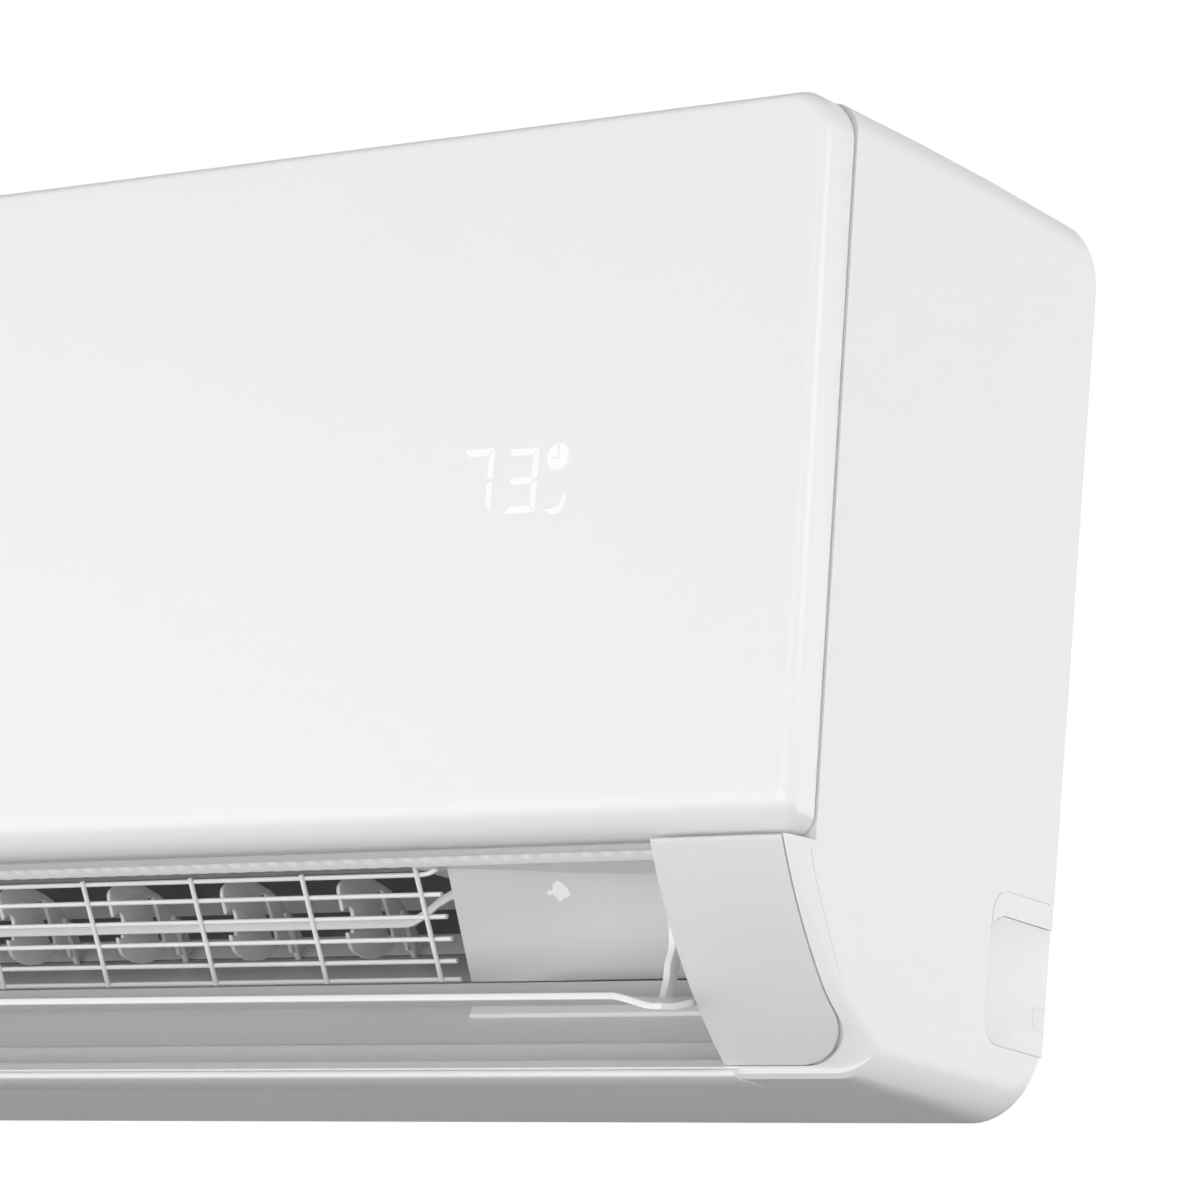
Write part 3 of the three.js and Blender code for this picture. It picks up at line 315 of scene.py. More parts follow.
def plastic(name, colour, roughness, spread=0.07, tone=0.03, grain=1500.0, bump=0.04, coat=0.0):
    """A moulded plastic: the moulded_plastic group feeding one Principled shader."""
    material = bpy.data.materials.new(name)
    material.use_nodes = True
    tree = material.node_tree
    shader = tree.nodes["Principled BSDF"]
    shader.inputs["IOR"].default_value = 1.5
    shader.inputs["Coat Weight"].default_value = coat
    shader.inputs["Coat Roughness"].default_value = 0.12
    group = tree.nodes.new("ShaderNodeGroup")
    group.node_tree = moulded
    group.inputs["Color"].default_value = (*colour, 1)
    group.inputs["Tone Spread"].default_value = tone
    group.inputs["Grain Scale"].default_value = grain
    group.inputs["Roughness"].default_value = roughness
    group.inputs["Roughness Spread"].default_value = spread
    relief = add(tree, "ShaderNodeBump", Strength=bump, Distance=0.0004)
    wire(tree, group.outputs["Color"], shader.inputs["Base Color"])
    wire(tree, group.outputs["Roughness"], shader.inputs["Roughness"])
    wire(tree, group.outputs["Height"], relief.inputs["Height"])
    wire(tree, relief.outputs["Normal"], shader.inputs["Normal"])
    return material


def grey(value):
    """The linear colour of an even grey given as 0 to 255 in a picture."""
    share = value / 255
    linear = share / 12.92 if share <= 0.04045 else ((share + 0.055) / 1.055) ** 2.4
    return (linear, linear, linear)


panel_white = plastic("panel_white", grey(236), 0.30, tone=0.02, bump=0.02)
casing_white = plastic("casing_white", grey(236), 0.42, tone=0.02, bump=0.05)
cover_silver = plastic("cover_silver", grey(222), 0.34, tone=0.05, grain=2600.0, bump=0.06)
duct_grey = plastic("duct_grey", grey(222), 0.30, tone=0.04, bump=0.04)
# Painted shade: the flared wall and the ledge under the guard belong to the duct's moulding, given a darker
# grey for the shade that falls on them inside the outlet.
wall_grey_painted_shade = plastic("wall_grey_painted_shade", grey(192), 0.50, spread=0.05, tone=0.04, bump=0.03)
# Painted shade: the scroll skin's dark grey stands for the shade deep inside the duct, whose moulding is the
# duct's lighter grey.
scroll_grey_painted_shade = plastic("scroll_grey_painted_shade", grey(120), 0.45, tone=0.10, bump=0.06)
# Painted shade: the outlet floor is darker than the duct's grey, for the shade under the louver. Its gloss is
# real.
floor_gloss_painted_shade = plastic("floor_gloss_painted_shade", grey(210), 0.16, spread=0.04, tone=0.03, bump=0.02)
# Painted light: the vanes, link bar, crank and bush are lifted to near-white, lighter than the other
# mouldings, for the light they catch inside the outlet.
vane_grey = plastic("vane_grey", grey(248), 0.42, tone=0.05, bump=0.05)
guard_coating = plastic("guard_coating", grey(228), 0.40, tone=0.06, grain=3000.0, bump=0.10)
fan_black = plastic("fan_black", grey(62), 0.55, tone=0.20, bump=0.10)
box_grey = plastic("box_grey", grey(84), 0.60, tone=0.15, bump=0.12)
motor_white = plastic("motor_white", grey(226), 0.45, tone=0.05)
rubber_black = plastic("rubber_black", grey(48), 0.78, tone=0.25, grain=700.0, bump=0.20)
hose_grey = plastic("hose_grey", grey(190), 0.55, tone=0.06, grain=500.0, bump=0.12)
symbol_white = plastic("symbol_white", grey(252), 0.35, tone=0.01, bump=0.01)
print("plastics and paper", len(bpy.data.materials))

# %% [markdown]
# The metals behind the front are rolled or drawn, so their marks run one way. The lines group
# gives those marks, and a slow noise gives the fingerprints and the dull patches of real stock.

# %% Metals, fins, board and filter net


def metal(name, colour, dark, roughness, per_metre, direction, bump=0.05, wander=0.02, sharp=1.0):
    """A metal with parallel marks: colour follows the lines mask times a slow noise, roughness the noise."""
    material = bpy.data.materials.new(name)
    material.use_nodes = True
    tree = material.node_tree
    shader = tree.nodes["Principled BSDF"]
    shader.inputs["Metallic"].default_value = 1.0
    group = tree.nodes.new("ShaderNodeGroup")
    group.node_tree = lines
    group.inputs["Lines Per Metre"].default_value = per_metre
    group.inputs["Wander"].default_value = wander
    group.inputs["Sharpness"].default_value = sharp
    group.inputs["Direction"].default_value = direction
    cloud = add(tree, "ShaderNodeTexNoise", Scale=18.0, Detail=5.0)
    wire(tree, tree.nodes.new("ShaderNodeTexCoord").outputs["Object"], cloud.inputs["Vector"])
    both = add(tree, "ShaderNodeMath", operation="MULTIPLY")
    wire(tree, group.outputs["Mask"], both.inputs[0])
    wire(tree, cloud.outputs["Fac"], both.inputs[1])
    wire(tree, mix_colour(tree, both.outputs[0], colour, dark), shader.inputs["Base Color"])
    rough = add(tree, "ShaderNodeMapRange")
    rough.inputs["To Min"].default_value = roughness - 0.08
    rough.inputs["To Max"].default_value = roughness + 0.12
    wire(tree, cloud.outputs["Fac"], rough.inputs["Value"])
    wire(tree, rough.outputs["Result"], shader.inputs["Roughness"])
    relief = add(tree, "ShaderNodeBump", Strength=bump, Distance=0.0005)
    wire(tree, group.outputs["Mask"], relief.inputs["Height"])
    wire(tree, relief.outputs["Normal"], shader.inputs["Normal"])
    return material


zinc_steel = metal("zinc_steel", (0.62, 0.64, 0.66), (0.42, 0.44, 0.47), 0.42, 900.0, (0, 0, 1), 0.06)
motor_steel = metal("motor_steel", (0.60, 0.61, 0.62), (0.45, 0.46, 0.48), 0.38, 600.0, (1, 0, 0), 0.05)
# Painted shade: the fins' dark lines stand for the shade in the gaps between the fins. The slow noise in them
# gives real dull patches.
fin_metal_painted_gap_shade = metal("fin_metal_painted_gap_shade", (0.70, 0.76, 0.80), (0.16, 0.18, 0.20), 0.45, 720.0, (1, 0, 0), 0.5, 0.0, 2.0)
copper = metal("copper", (0.80, 0.42, 0.26), (0.50, 0.22, 0.12), 0.34, 260.0, (1, 0.4, 0.7), 0.03, 0.05)
brass = metal("brass", (0.78, 0.60, 0.28), (0.50, 0.36, 0.14), 0.30, 500.0, (0, 1, 1), 0.04)


def circuit_green():
    """Solder mask: dark green with lighter tracks where a Voronoi edge distance is small."""
    material = bpy.data.materials.new("circuit_green")
    material.use_nodes = True
    tree = material.node_tree
    shader = tree.nodes["Principled BSDF"]
    cells = add(tree, "ShaderNodeTexVoronoi", feature="DISTANCE_TO_EDGE", Scale=260.0)
    wire(tree, tree.nodes.new("ShaderNodeTexCoord").outputs["Object"], cells.inputs["Vector"])
    track = add(tree, "ShaderNodeMath", operation="LESS_THAN")
    track.inputs[1].default_value = 0.06
    wire(tree, cells.outputs["Distance"], track.inputs[0])
    mask_green, track_green = (0.02, 0.10, 0.05), (0.06, 0.24, 0.12)
    greens = mix_colour(tree, track.outputs[0], mask_green, track_green)
    wire(tree, greens, shader.inputs["Base Color"])
    rough = add(tree, "ShaderNodeMapRange")
    rough.inputs["To Min"].default_value = 0.30
    rough.inputs["To Max"].default_value = 0.50
    wire(tree, track.outputs[0], rough.inputs["Value"])
    wire(tree, rough.outputs["Result"], shader.inputs["Roughness"])
    return material


board_green = circuit_green()


def filter_net():
    """Woven net: two lines masks at right angles; where neither thread runs the sheet is clear."""
    material = bpy.data.materials.new("filter_net")
    material.use_nodes = True
    tree = material.node_tree
    shader = tree.nodes["Principled BSDF"]
    shader.inputs["Roughness"].default_value = 0.6
    masks = []
    for direction in ((1, 0, 0), (0, 0.72, 0.70)):
        group = tree.nodes.new("ShaderNodeGroup")
        group.node_tree = lines
        group.inputs["Lines Per Metre"].default_value = 620.0
        group.inputs["Sharpness"].default_value = 1.4
        group.inputs["Direction"].default_value = direction
        masks.append(group.outputs["Mask"])
    thread = add(tree, "ShaderNodeMath", operation="MAXIMUM")
    wire(tree, masks[0], thread.inputs[0])
    wire(tree, masks[1], thread.inputs[1])
    solid = add(tree, "ShaderNodeMapRange")
    solid.inputs["From Min"].default_value = 0.45
    solid.inputs["From Max"].default_value = 0.60
    wire(tree, thread.outputs[0], solid.inputs["Value"])
    wire(tree, solid.outputs["Result"], shader.inputs["Alpha"])
    low_blue, high_blue = (0.10, 0.14, 0.16), (0.24, 0.29, 0.32)
    blues = mix_colour(tree, thread.outputs[0], low_blue, high_blue)
    wire(tree, blues, shader.inputs["Base Color"])
    return material


net_blue = filter_net()
filter_frame = plastic("filter_frame", (0.10, 0.14, 0.16), 0.5, tone=0.12, bump=0.08)
print("materials", len(bpy.data.materials))

# %% [markdown]
# ## Drawing tools
# A moulded shell is a profile carried along a path. These helpers turn a grid of points, worked
# out with numpy as one array, into a mesh, and finish it with smooth shading that stays sharp
# where the real part has an edge. The curves come first: most outlines are made of circle arcs
# and of smooth lines through a few measured points.

# %% Curves


def arc(centre, radius, start, stop, steps):
    """Points centre + radius (cos a, sin a) for a from start to stop degrees."""
    a = np.radians(np.linspace(start, stop, steps + 1))
    return np.stack([centre[0] + radius * np.cos(a), centre[1] + radius * np.sin(a)], 1)


def smooth_line(points, steps, closed=False):
    """Catmull-Rom curve through the points: each span blends four neighbours with cubic weights."""
    p = np.asarray(points, float)
    n = len(p)
    spans = n if closed else n - 1
    i = np.arange(spans)
    pick = (lambda k: p[(i + k) % n]) if closed else (lambda k: p[np.clip(i + k, 0, n - 1)])
    a, b, c, d = pick(-1), pick(0), pick(1), pick(2)
    t = (np.arange(steps) / steps)[None, :, None]
    a, b, c, d = (q[:, None, :] for q in (a, b, c, d))
    curve = 0.5 * (2 * b + (c - a) * t + (2 * a - 5 * b + 4 * c - d) * t**2 + (3 * b - a - 3 * c + d) * t**3)
    curve = curve.reshape(-1, p.shape[1])
    return curve if closed else np.vstack([curve, p[-1:]])


print("points in a quarter circle of 14 steps", len(arc((0, 0), 1.0, 0, 90, 14)))

# %% [markdown]
# A grid of points becomes a skin of four-sided faces. The same skin gives sheets, closed tubes and
# capped bars, depending on which way the grid is wrapped.

# %% Meshes from grids


def mesh_object(name, points, faces):
    """An object made of points in millimetres and faces that count those points."""
    mesh = bpy.data.meshes.new(name)
    mesh.from_pydata((np.asarray(points, float) * MM).tolist(), [], faces)
    mesh.validate()
    thing = bpy.data.objects.new(name, mesh)
    bpy.context.scene.collection.objects.link(thing)
    return thing


def skin(name, grid, close_u=False, close_v=False, caps=False):
    """A mesh from grid[u, v] points: one quad per cell, wrapped where closed, ends filled by caps."""
    grid = np.asarray(grid, float)
    nu, nv = grid.shape[:2]
    ring = np.arange(nu * nv).reshape(nu, nv)
    u1 = np.roll(ring, -1, 0) if close_u else ring[1:]
    u0 = ring if close_u else ring[:-1]
    shift = (lambda r: np.roll(r, -1, 1)) if close_v else (lambda r: r[:, 1:])
    keep = (lambda r: r) if close_v else (lambda r: r[:, :-1])
    faces = np.stack([keep(u0), keep(u1), shift(u1), shift(u0)], -1).reshape(-1, 4).tolist()
    if caps:
        faces += [ring[0].tolist(), ring[-1][::-1].tolist()]
    return mesh_object(name, grid.reshape(-1, 3), faces)


def outward(thing):
    """Merges doubles and turns every face to the outside."""
    shape = bmesh.new()
    shape.from_mesh(thing.data)
    bmesh.ops.remove_doubles(shape, verts=shape.verts, dist=1e-7)
    bmesh.ops.recalc_face_normals(shape, faces=shape.faces)
    shape.to_mesh(thing.data)
    shape.free()
    return thing


# %% [markdown]
# A moulded edge is never knife sharp, and an opening has a clean wall. Edges get a small bevel and
# openings are taken out as solids, and both are then baked, so that each piece is plain geometry.

# %% Shading, edges and cuts


def shade(thing, sharp=32):
    """Smooth shading that breaks where two faces meet at more than `sharp` degrees."""
    thing.data.shade_smooth()
    thing.data.set_sharp_from_angle(angle=math.radians(sharp))
    return thing


def settle(thing, sharp=32):
    """Bakes the modifiers into the mesh, so that the finished piece is plain geometry."""
    graph = bpy.context.evaluated_depsgraph_get()
    baked = bpy.data.meshes.new_from_object(thing.evaluated_get(graph))
    thing.modifiers.clear()
    thing.data = baked
    return shade(thing, sharp)


def rounded(thing, width, segments=2, angle=32):
    """A small bevel on every edge sharper than `angle`, then settled."""
    bevel = thing.modifiers.new("edge", "BEVEL")
    bevel.width = width * MM
    bevel.segments = segments
    bevel.limit_method = "ANGLE"
    bevel.angle_limit = math.radians(angle)
    bevel.use_clamp_overlap = True
    return settle(thing)


def carve(thing, *cutters):
    """Takes the cutters' volume out of the piece and removes the cutters."""
    for cutter in cutters:
        cut = thing.modifiers.new("cut", "BOOLEAN")
        cut.operation = "DIFFERENCE"
        cut.solver = "EXACT"
        cut.object = cutter
    bpy.context.view_layer.update()
    settle(thing)
    for cutter in cutters:
        bpy.data.objects.remove(cutter)
    return thing


def prism(name, outline, x0, x1):
    """An outline in (Y, Z) carried from x0 to x1 and closed."""
    o = np.asarray(outline, float)
    grid = np.stack([np.column_stack([np.full(len(o), x), o]) for x in (x0, x1)])
    return outward(skin(name, grid, close_v=True, caps=True))


def prism_y(name, outline, y0, y1):
    """An outline in (X, Z) carried from y0 to y1 and closed."""
    o = np.asarray(outline, float)
    grid = np.stack([np.column_stack([o[:, 0], np.full(len(o), y), o[:, 1]]) for y in (y0, y1)])
    return outward(skin(name, grid, close_v=True, caps=True))


def block(name, x0, x1, y0, y1, z0, z1):
    """A box between the given limits."""
    return prism(name, [(y0, z0), (y1, z0), (y1, z1), (y0, z1)], x0, x1)


def merge(name, parts):
    """One object with all the parts' points and faces, each face's numbers raised by the points
    that came before its part."""
    points, corners, counts, start = [], [], [], 0
    for part in parts:
        data = part.data
        co = np.empty(len(data.vertices) * 3, np.float32)
        data.vertices.foreach_get("co", co)
        points.append(co.reshape(-1, 3))
        index = np.empty(len(data.loops), np.int32)
        data.loops.foreach_get("vertex_index", index)
        corners.append(index + start)
        total = np.empty(len(data.polygons), np.int32)
        data.polygons.foreach_get("loop_total", total)
        counts.append(total)
        start += len(data.vertices)
        bpy.data.objects.remove(part)
    ends_of_faces = np.cumsum(np.concatenate(counts))[:-1]
    faces = [face.tolist() for face in np.split(np.concatenate(corners), ends_of_faces)]
    mesh = bpy.data.meshes.new(name)
    mesh.from_pydata(np.vstack(points).tolist(), [], faces)
    thing = bpy.data.objects.new(name, mesh)
    bpy.context.scene.collection.objects.link(thing)
    return thing


def dress(thing, material, body):
    """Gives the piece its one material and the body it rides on."""
    thing.data.materials.clear()
    thing.data.materials.append(material)
    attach(thing, body)
    return thing


def tube(path, radius, sides=12):
    """A round wire along the path: circles in the plane across each point's direction, capped."""
    p = np.asarray(path, float)
    way = np.gradient(p, axis=0)
    way /= np.linalg.norm(way, axis=1)[:, None]
    helper = np.array([0.0, 0.0, 1.0]) if abs(way[0, 2]) < 0.8 else np.array([1.0, 0.0, 0.0])
    side = np.cross(way, helper)
    side /= np.linalg.norm(side, axis=1)[:, None]
    other = np.cross(way, side)
    a = np.linspace(0, 2 * np.pi, sides, endpoint=False)
    ring = np.cos(a)[None, :, None] * side[:, None] + np.sin(a)[None, :, None] * other[:, None]
    return outward(skin("wire", p[:, None] + radius * ring, close_v=True, caps=True))


# %% [markdown]
# ## Dimensions
# The same measures that drive the solids: the panel leans forward at its top, the lower front is
# a shallow arc, and the louver swings about a line just behind it.

# %% Shared lines of the unit
HALF = 400.0
TOP, LOW = 149.0, -146.2
FRONT_TOP, FRONT_LOW = np.array([-149.3, -78.0]), np.array([-99.5, -140.8])
RADIUS, RISE = 176.9, 4.6
PIVOT = np.array([-108.5, -95.9])
TROUGH_CENTRE = np.array([-110.4, -94.7])
PANEL_LOW = -77.0
THICK = 16.0

chord = FRONT_LOW - FRONT_TOP
inward = np.array([-chord[1], chord[0]]) / np.hypot(*chord)
CENTRE = (FRONT_TOP + FRONT_LOW) / 2 + inward * (RADIUS - RISE)
ends = [
    math.degrees(math.atan2(p[1] - CENTRE[1], p[0] - CENTRE[0])) % 360 for p in (FRONT_TOP, FRONT_LOW)
]


def seam(z):
    """Y of the panel's rear rim at height z."""
    return -138.6 - 0.0321 * np.asarray(z, float)


def front(t, inset=0.0):
    """The lower front's arc: t from 0 under the panel to 1 at the lip, moved in by inset."""
    t, inset = np.broadcast_arrays(np.asarray(t, float), inset)
    a = np.radians(ends[0] + (ends[1] - ends[0]) * t)
    return np.stack([CENTRE[0] + (RADIUS - inset) * np.cos(a), CENTRE[1] + (RADIUS - inset) * np.sin(a)], -1)


def trough(start, stop, radius, steps):
    """The outlet floor's round about TROUGH_CENTRE; 0 degrees points down, 90 to the rear."""
    return arc(TROUGH_CENTRE, radius, start - 90, stop - 90, steps)


print("front arc centre", CENTRE.round(2), "angles", np.round(ends, 2))

# %% [markdown]
# ## The white casing
# One moulding makes the top, the ends, the underside and the lip. Its ends are rounded over with
# a soft quarter circle, tighter towards the front. The outline is drawn at many distances from
# the end face and the rows are skinned, then the openings are cut as a mould would leave them.

# %% Casing outline
TOP_ROLL, LOW_ROLL, LIP_ROLL = 10, 14, 11
FRONT_TUCK, TUCK_REACH = 9, 3


def casing_outline(d, inset):
    """The side outline d mm in from the end: each corner's drop is a circle's height at d."""

    def roll(radius, reach):
        left = 1 - min(d, reach) / reach
        return radius * (1 - math.sqrt(max(0.0, 1 - left * left)))

    drop = roll(TOP_ROLL, TOP_ROLL) + inset
    lift = roll(LOW_ROLL, LOW_ROLL)
    tuck = roll(FRONT_TUCK, TUCK_REACH)
    lip_lift = max(tuck, roll(LIP_ROLL, LIP_ROLL))
    rear_low = -126.2 + lift
    low = arc((-22, rear_low), 20 - inset, 270, 360, 14)
    high = arc((-13, 135.5 - drop + inset), 11 - inset, 0, 90, 10)
    rear = [(6, rear_low + 3), (6, 135.5 - drop)] if inset else []
    i = np.linspace(0, 1, 24)
    t = 0.26 + 0.71 * i if inset else tuck / 160 + (1 - tuck / 160) * i
    s = np.clip((t - 0.6) / 0.4, 0, 1)
    blend = s * s * (3 - 2 * s)
    nose = front(t, tuck + (lip_lift - tuck) * blend + (inset + 2.3 if inset else 0))
    lip = [
        (-100 + 0.62 * lip_lift, -142.2 + 0.9 * lip_lift),
        (-98 + 0.62 * lip_lift, -143.5 + 0.98 * lip_lift),
    ]
    if inset:
        lip = [(-93 + 0.62 * lip_lift, -141.2 + 0.9 * lip_lift)]
    parts = [low, rear, high, [(-60, 148.3 - drop), (-100, TOP - drop)]]
    parts += [[(seam(TOP - drop) + 0.4 + inset, TOP - drop)]]
    parts += [[(seam(-76) + 0.4 + inset, PANEL_LOW - (0 if inset else 0.8))], nose, lip]
    return np.vstack([np.reshape(p, (-1, 2)) for p in parts if len(p)])


print("points in the outline", len(casing_outline(HALF, 0.0)))

# %% [markdown]
# The shell is the outline carried from end to end, with rows close together where the ends roll
# over. A smaller copy hollows it, and blocks cut the outlet, the window behind the panel, the air
# inlet in the top and the hole for the emergency button.

# %% Casing shell and its openings
CASING_WALL = 2.5


def casing_shell(name, half, inset):
    """Outlines at distances 15 (1 - cos a) from each end, mirrored to the other end and skinned."""
    a = np.radians(np.linspace(0, 90, 15))
    steps = np.unique(np.concatenate([15 * (1 - np.cos(a)), [0.35, 0.8, 3.0]]))
    rows = [(half - d, casing_outline(d, inset)) for d in steps]
    rows = [(-x, o) for x, o in rows] + rows[::-1]
    grid = np.stack([np.column_stack([np.full(len(o), x), o]) for x, o in rows])
    return outward(skin(name, grid, close_v=True, caps=True))


def round_rect(x0, x1, z0, z1, radii, steps=10):
    """Corners top-right, top-left, low-left, low-right as quarter circles, counter-clockwise."""
    tr, tl, ll, lr = radii
    return np.vstack([
        arc((x1 - tr, z1 - tr), tr, 0, 90, steps),
        arc((x0 + tl, z1 - tl), tl, 90, 180, steps),
        arc((x0 + ll, z0 + ll), ll, 180, 270, steps),
        arc((x1 - lr, z0 + lr), lr, 270, 360, steps),
    ])


casing = casing_shell("casing_skin", HALF, 0.0)
outlet_cut = [
    (-170, -76.6),
    (-144.8, -76.6),
    (-131.5, -79.4),
    (-100, -100),
    (-96, -137),
    (-101.6, -141),
    (-170, -141),
]
cutters = [
    casing_shell("hollow", HALF - CASING_WALL, CASING_WALL),
    prism("outlet", outlet_cut, -348.5, 348.5),
    prism_y("front_window", round_rect(-352, 352, -52, 118, (8, 8, 8, 8)), -160, -125),
    block("inlet", -342, 250, -136.5, -20, 130, 160),
    prism_y("button_hole", arc((372, -30), 4.4, 0, 337.5, 15), -150, -125),
]
print("first cutters", len(cutters))

# %% [markdown]
# Each end shows thin marks in its face: the seam where the front joins the rear, the opening for
# the pipe cover and the score of a second knock-out. They are cut as shallow grooves, so that they
# catch a shadow as real ones do.

# %% Marks in the end faces
KNOCK = dict(y=-37.0, low=-123.0, high=-83.0, r=8.0)


def knockout(grow, rear=5.0):
    """The pipe cover's outline on the end face: square at the rear, round at its front corners."""
    y, low, high, r = KNOCK["y"], KNOCK["low"], KNOCK["high"], KNOCK["r"]
    return np.vstack([
        [(rear, low - grow), (rear, high + grow)],
        arc((y + r, high - r), r + grow, 90, 180, 10),
        arc((y + r, low + r), r + grow, 180, 270, 10),
    ])


def ribbon(line, width):
    """A closed outline that runs along the line on one side and back on the other, width apart."""
    p = np.asarray(line, float)
    way = np.gradient(p, axis=0)
    side = np.column_stack([-way[:, 1], way[:, 0]]) / np.linalg.norm(way, axis=1)[:, None]
    return np.vstack([p + side * width / 2, (p - side * width / 2)[::-1]])


seam_points = [
    (-138.2, -80.5),
    (-135.4, -87.0),
    (-130.2, -96.0),
    (-122.9, -107.6),
    (-116.3, -117.0),
    (-110.2, -125.6),
    (-105.6, -133.0),
]
SIDE_SEAM = smooth_line(seam_points, 6)
SECOND_KNOCKOUT = np.vstack([
    [(-4.5, -74.8), (-15, -74.8)],
    arc((-28.6, -83.0), 8.2, 90, 180, 10),
    [(-37.1, -88.5)],
])
print("points in the side seam", len(SIDE_SEAM))

# %% [markdown]
# The end covers lie in shallow pockets of the casing. A pocket is the band along the front's arc,
# kept only where it lies inside the cover's shape seen from the front.

# %% Pockets and the cut casing
SWEEP_WIDE, SWEEP_HIGH = 18.5, 13.0


def cover_outline(grow):
    """The end cover seen from the front: its outer lower corner is a long, flat quarter ellipse."""
    a = np.radians(np.linspace(0, -90, 16))
    x1, z0 = 396.8 + grow, -139.6 - grow
    corner = np.column_stack(
        [x1 - SWEEP_WIDE + SWEEP_WIDE * np.cos(a), z0 + SWEEP_HIGH + SWEEP_HIGH * np.sin(a)]
    )
    return np.vstack([[(348.3 - grow, -60), (x1, -60)], corner, [(348.3 - grow, z0)]])


for sign in (1, -1):
    before, behind = front(np.linspace(-0.02, 1, 20), -3.0), front(np.linspace(1, -0.02, 20), 2.3)
    pocket = prism("pocket", np.vstack([before, behind]), 346, 401)
    shape = prism_y("shape", cover_outline(0.35), -170, -80)
    keep = pocket.modifiers.new("keep", "BOOLEAN")
    keep.operation = "INTERSECT"
    keep.solver = "EXACT"
    keep.object = shape
    bpy.context.view_layer.update()
    settle(pocket)
    bpy.data.objects.remove(shape)
    window = prism("window", knockout(0.45), 390, 405)
    slit = prism("slit", [(-110.3, -126.2), (-109.7, -126.0), (-106.6, -130.9), (-107.2, -131.1)], 399.0, 402)
    groove = prism("groove", ribbon(SIDE_SEAM, 0.26), 399.68, 402)
    score = prism("score", ribbon(SECOND_KNOCKOUT, 0.34), 399.62, 402)
    for cutter in (pocket, window, slit, groove, score):
        if sign < 0:
            cutter.data.transform(Matrix.Scale(-1, 4, (1, 0, 0)))
            outward(cutter)
        cutters.append(cutter)
carve(casing, *cutters)
outward(casing)
shade(casing, 24)
print("casing faces", len(casing.data.polygons))

# %% [markdown]
# The lip below the outlet turns inwards as a smooth hollow that follows the louver's swing. The
# top has a moulded grid over the air inlet, and two arms near its ends carry the panel's hinge.
# All of it belongs to the casing and moves with it.

# %% Lip, grid and hinge arms
GRID_BARS = 15
HINGE = (-148.22, 144)
ARM_INNER, ARM_OUTER = 385, 389
lip_front = np.array([
    (-84, -144.4),
    (-98.5, -143.9),
    (-101.5, -143.2),
    (-102.0, -142.3),
    (-101.6, -141.2),
    (-99.4, -140.4),
])
lip_shape = np.vstack([lip_front, [(-93.5, -139.9)], trough(20, 48.5, 50.15, 16), trough(48, 34, 52.5, 4)])
parts = [prism("lip", lip_shape, -353, 353)]
for i in range(GRID_BARS):
    x = -338 + 584 * (i + 0.5) / GRID_BARS
    parts.append(block("bar", x - 1, x + 1, -128, -21.5, 138.5, 141.4))
for y in (-129, -76, -23):
    parts.append(block("rail", -343.5, 251.5, y, y + 2.5, 138, 142))
for x in (-345, 250):
    parts.append(block("rail", x, x + 3, -131, -18, 137, 147))
for sign in (1, -1):
    x = sorted((sign * ARM_INNER, sign * ARM_OUTER))
    parts.append(block("arm", *x, -149.6, -135, 138.6, 141.7))
    parts.append(block("riser", *x, -149.8, -146.7, 140, 144))
    parts.append(tube([(sign * ARM_INNER, *HINGE), (sign * ARM_OUTER, *HINGE)], 2.4, 20))
    parts.append(tube([(sign * 388, *HINGE), (sign * 392.4, *HINGE)], 1.2))
trim = rounded(merge("casing_lip_and_grid", parts), 0.35)
dress(trim, casing_white, "housing")
dress(casing, casing_white, "housing")
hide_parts("front_casing")
print("lip, grid and arm faces", len(trim.data.polygons))

# %% [markdown]
# ## The front panel
# A shallow tray: a flat face with soft edges, tight at the top and sides and a wide curl at the
# bottom. Rows of rounded rectangles are stepped from the inside of the tray, round its rim and
# over the edge to the face. Each row moves in by a cosine and forward by a sine.

# %% Panel


def tray_row(side, top, bottom, depth, top_depth, low_depth, corner=12.0):
    """One rounded rectangle, moved in by side/top/bottom, its Y set by depth blended to the edges."""
    x0, x1, z0, z1 = -HALF + side, HALF - side, PANEL_LOW + bottom, TOP - top
    big, small = max(corner - side, 2.0), max(7 - side, 1.0)
    o = round_rect(x0, x1, z0, z1, (big, big, small, small), 12)
    up_share = np.clip((o[:, 1] - (z1 - big)) / big, 0, 1)
    low_share = np.clip(((z0 + small) - o[:, 1]) / small, 0, 1)
    forward = depth + (top_depth - depth) * up_share + (low_depth - depth) * low_share
    return np.column_stack([o[:, 0], seam(o[:, 1]) - forward, o[:, 1]])


rows = []
WALLS = 2.4
rows.append(tray_row(WALLS + 6, WALLS + 5, WALLS + 9, THICK - WALLS, THICK - WALLS, THICK - WALLS))
rows.append(tray_row(WALLS, WALLS, WALLS + 2, THICK - 7, THICK - 6, THICK - 10))
rows.append(tray_row(WALLS, WALLS, WALLS, 0.6, 5.0, 0.6))
for a in np.radians(np.linspace(0, 90, 7)):
    s, c = math.sin(a), math.cos(a)
    moved_in = (1.6 * (1 - s), 5 * (1 - s), 1.2 * (1 - s))
    depths = (2.6 * (1 - c), 5 * (1 - c), 1.4 * (1 - c))
    rows.append(tray_row(*moved_in, *depths))
for a in np.radians(np.linspace(0, 90, 14)):
    s, c = math.sin(a), math.cos(a)
    depths = (THICK - 6 * (1 - s), THICK - 4 * (1 - s), THICK - 12 * (1 - s))
    rows.append(tray_row(4 * (1 - c), 3 * (1 - c), 12 * (1 - c), *depths, 12 + 4 * (1 - c)))
panel = outward(skin("panel_tray", np.stack(rows), close_v=True, caps=True))
shade(panel, 28)
dress(panel, panel_white, "panel")
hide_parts("front_panel")

